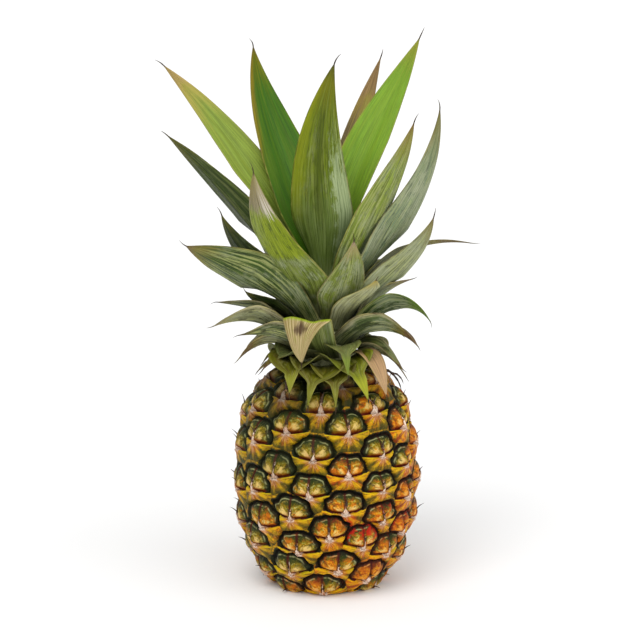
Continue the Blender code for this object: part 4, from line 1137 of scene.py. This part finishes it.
# edges of the leaf that is folded over in front: where it stands, its fold and its hanging end
FOLD_LEFT = ((-13, -17, 150), (-22, -24, 163), (-26.4, -30, 175.8), (-26.7, -31, 177.2),
             (-26.8, -32.6, 176.6), (-24.8, -36, 168.8), (-21, -40, 158.8), (-15.8, -43, 151.9))
FOLD_RIGHT = ((8, -20, 150), (6, -30, 160), (3.2, -37, 176.6), (2.8, -38, 178.0),
              (2.4, -39.6, 177.2), (-3.4, -40.5, 173.4), (-9.8, -42, 164.3), (-15.0, -43, 151.5))
FOLD_TIMES = (0.0, 0.25, 0.47, 0.50, 0.53, 0.65, 0.85, 1.0)


def folded_sheet(ts, sides):
    """Middle surface of the folded leaf and its normals, towards the face that grew inwards."""
    place = np.interp(ts, FOLD_TIMES, np.arange(len(FOLD_TIMES)))
    first = np.minimum(place.astype(int), len(FOLD_TIMES) - 2)
    part = (place - first)[:, None]
    edges = []
    for line in (FOLD_LEFT, FOLD_RIGHT):
        line = np.array(line, float)
        last = len(line) - 1
        edges.append(catmull(line[np.maximum(first - 1, 0)], line[first], line[first + 1],
                             line[np.minimum(first + 2, last)], part))
    across = ((sides + 1) / 2)[None, :, None]
    sheet = edges[0][:, None] * (1 - across) + edges[1][:, None] * across
    open_part = np.clip((1 - ts) / 0.3, 0, 1)[:, None]
    bulge = (2.2 * (1 - sides ** 2) + 0.35 * np.sin(sides * 8.0)) * open_part
    sheet[..., 1] -= bulge
    sheet[..., 2] -= 0.8 * bulge * bell(ts - 0.5, 0.08)[:, None] * np.sin(sides * 2.5 + 0.6)
    along, over = np.gradient(sheet, axis=0), np.gradient(sheet, axis=1)
    facing = np.cross(along, over)
    facing /= np.maximum(np.linalg.norm(facing, axis=2, keepdims=True), 1e-9)
    if facing[5, len(sides) // 2, 1] < 0:
        facing = -facing
    facing[-1] = facing[-2]
    return sheet, facing


def build_leaf(number, radii):
    name = LEAVES[number][0]
    rng = np.random.default_rng(100 + number)
    share = number / (len(LEAVES) - 1)
    stations = 74 if number < 22 else 56
    n_side = 9 if number < 22 else 8  # points from the middle to each edge
    x = np.linspace(0, 1, stations + 1)
    ts = 1 - (1 - x) ** 1.15
    centre, tangent, across, inward = leaf_curve(number, radii, ts)
    half = leaf_half_width(number, radii, ts)
    bend = leaf_curvature(number, radii, ts, centre)
    full = LEAVES[number][5] / 2
    dryness = 0.25 + 0.75 * share
    # the dry end rolls up, and tapers to a thread
    bend = bend * (1 + 0.8 * smooth(ts, 0.80, 1.0))
    half = np.maximum(half, 0.42)
    sides = np.linspace(-1, 1, 2 * n_side + 1)
    sides = np.sign(sides) * np.abs(sides) ** 0.85
    phase = rng.uniform(0, 6.28, 8)
    points, data = [], []
    folded = name.startswith("leaf_29")
    if folded:
        sheet, facing = folded_sheet(ts, sides)
        centre, inward = sheet[:, n_side], facing[:, n_side]
        tangent = np.gradient(centre, axis=0)
        tangent /= np.linalg.norm(tangent, axis=1, keepdims=True)
        across = np.cross(inward, tangent)
    length = np.concatenate([[0], np.cumsum(np.linalg.norm(np.diff(centre, axis=0), axis=1))])
    for j in range(stations + 1):
        thick = LEAF_THICKNESS * (1 - 0.5 * ts[j]) / 2
        angle = sides * half[j] * bend[j]
        lateral, lift = np.sin(angle) / bend[j], (1 - np.cos(angle)) / bend[j]
        free = smooth(ts[j], 0.05, 0.45)
        # the channel along the middle and two lower folds beside it
        lift = lift - (0.085 * half[j] * free) * bell(sides, 0.16)
        lift = lift + 0.020 * half[j] * free * np.cos(sides * 9.0 + phase[0])
        # slow waves along the edges
        wavy = np.sin(length[j] / (11 + 5 * dryness) + phase[1] + (sides > 0) * phase[2])
        wavy = wavy + 0.6 * np.sin(length[j] / 5.3 + phase[3] + (sides > 0) * phase[4])
        lift = lift + wavy * np.abs(sides) ** 3 * 0.045 * half[j] * dryness * free
        sway = 0.05 * half[j] * math.sin(length[j] / 17.0 + phase[5]) * free * dryness
        middle = centre[j] + np.outer(lateral + sway, across[j]) + np.outer(lift, inward[j])
        normal = np.outer(np.cos(angle), inward[j]) - np.outer(np.sin(angle), across[j])
        if folded:
            middle, normal = sheet[j], facing[j]
        body = thick * (0.22 + 0.78 * np.sqrt(np.maximum(1 - sides ** 2, 0)))
        body = np.minimum(body, np.maximum(half[j] * 0.8, 0.16))
        upper = middle + body[:, None] * normal
        lower = middle - body[:, None] * normal
        ring = np.concatenate([upper, lower[::-1]])
        points.append(ring)
        data.append(np.stack([np.concatenate([sides, sides[::-1]]), np.full(len(ring), ts[j]),
                              np.concatenate([np.ones(len(sides)), np.zeros(len(sides))]),
                              np.ones(len(ring))], 1))
    # the thread at the end
    curl = rng.uniform(-1, 1, 2)
    reach = (5.0 + 3.5 * rng.random()) * (1.0 if number < 20 else 0.6)
    last, way = centre[-1], tangent[-1]
    for k in range(1, 9):
        f = k / 8
        way = way + 0.09 * (across[-1] * curl[0] + inward[-1] * (curl[1] - 0.2))
        way /= np.linalg.norm(way)
        last = last + way * reach / 8
        radius = 0.42 * (1 - f) ** 0.8 + 0.06
        ang = np.concatenate([np.linspace(math.pi, 0, len(sides)),
                              np.linspace(0, -math.pi, len(sides))])
        ring = last + radius * (np.outer(np.cos(ang), across[-1]) + 0.6 * np.outer(
            np.sin(ang), inward[-1]))
        points.append(ring)
        data.append(np.stack([np.cos(ang), np.ones(len(ring)), np.ones(len(ring)),
                              np.ones(len(ring))], 1))
    grid = np.array(points)
    rows, n = grid.shape[:2]
    grid[..., 2] = np.maximum(grid[..., 2], 0.0)
    flat, values = grid.reshape(-1, 3), np.array(data).reshape(-1, 4)
    j, i = np.meshgrid(np.arange(rows - 1), np.arange(n), indexing="ij")
    k = (i + 1) % n
    a, b, c, d = j * n + i, j * n + k, (j + 1) * n + k, (j + 1) * n + i
    upper_side = i < n // 2
    one = np.where(upper_side[..., None], np.stack([a, b, c], -1), np.stack([a, b, d], -1))
    two = np.where(upper_side[..., None], np.stack([a, c, d], -1), np.stack([b, c, d], -1))
    faces = np.concatenate([one.reshape(-1, 3), two.reshape(-1, 3)])
    caps = []
    for base, flip in ((0, True), ((rows - 1) * n, False)):
        for q in range(n // 2 - 1):
            quad = (base + q, base + q + 1, base + n - 2 - q, base + n - 1 - q)
            for tri in ((quad[0], quad[1], quad[2]), (quad[0], quad[2], quad[3])):
                caps.append(tri[::-1] if flip else tri)
    faces = np.concatenate([faces, np.array(caps)])
    # outward faces
    p = flat[faces]
    volume = np.einsum("ij,ij->i", p[:, 0], np.cross(p[:, 1], p[:, 2])).sum()
    if volume < 0:
        faces = faces[:, ::-1]
    obj = mesh_object(name + "_blade", flat, faces, leaf_material(number),
                      (("leaf", "POINT", values),))
    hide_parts(name)
    return obj


def stem_material():
    m = Sheet("crown_stem_finish")
    here = m.place()
    long = m.noise(here, 500.0, 3.0, 0.6)
    col = m.mix(m.step(long, 0.35, 0.65), "8f9460", "cfd2a4")
    return m.finish(col, 0.65, long, depth=0.0006)


# --------------------------------------------------------------------------------------- build
skin, tips = build_skin(skin_material())
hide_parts("fruit_body")
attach(skin, "root")
thorns = build_points(tips, thorn_material())
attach(thorns, "root")

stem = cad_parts["crown_stem"]
stem.data.materials.clear()
stem.data.materials.append(stem_material())

radii = leaf_bases()
for number in range(len(LEAVES)):
    blade = build_leaf(number, radii)
    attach(blade, "root")

# --------------------------------------------------------------------------- floor, light, camera
scene = bpy.context.scene
scene.view_settings.view_transform = "Standard"
scene.view_settings.look = "None"

floor_mesh = bpy.data.meshes.new("floor")
floor_mesh.from_pydata([(-40, -40, 0), (40, -40, 0), (40, 40, 0), (-40, 40, 0)], [], [(0, 1, 2, 3)])
floor = bpy.data.objects.new("floor", floor_mesh)
scene.collection.objects.link(floor)
f = Sheet("pale_floor")
floor_mesh.materials.append(f.finish(linear("fbfbfb"), 0.9, specular=0.1))

world = bpy.data.worlds.new("studio")
world.use_nodes = True
world.node_tree.nodes["Background"].inputs[0].default_value = (1.0, 1.0, 1.0, 1.0)
world.node_tree.nodes["Background"].inputs[1].default_value = 0.66
scene.world = world


def lamp(name, azimuth, elevation, angle, strength):
    """A broad soft light from that side of the object, the same all over the floor."""
    data = bpy.data.lights.new(name, "SUN")
    data.angle = math.radians(angle)
    data.energy = strength
    obj = bpy.data.objects.new(name, data)
    obj.rotation_euler = (math.radians(90 - elevation), 0, math.radians(azimuth))
    scene.collection.objects.link(obj)


lamp("key", -28, 58, 36, 1.24)
lamp("side", 48, 40, 60, 0.74)

camera_data = bpy.data.cameras.new("camera")
camera_data.lens = 134.35
camera_data.sensor_width = 36.0
camera_data.clip_end = 100.0
camera = bpy.data.objects.new("camera", camera_data)
camera.location = (-0.00408, -1.46722, 0.48136)
camera.rotation_euler = (math.radians(78), 0, 0)
scene.collection.objects.link(camera)
scene.camera = camera
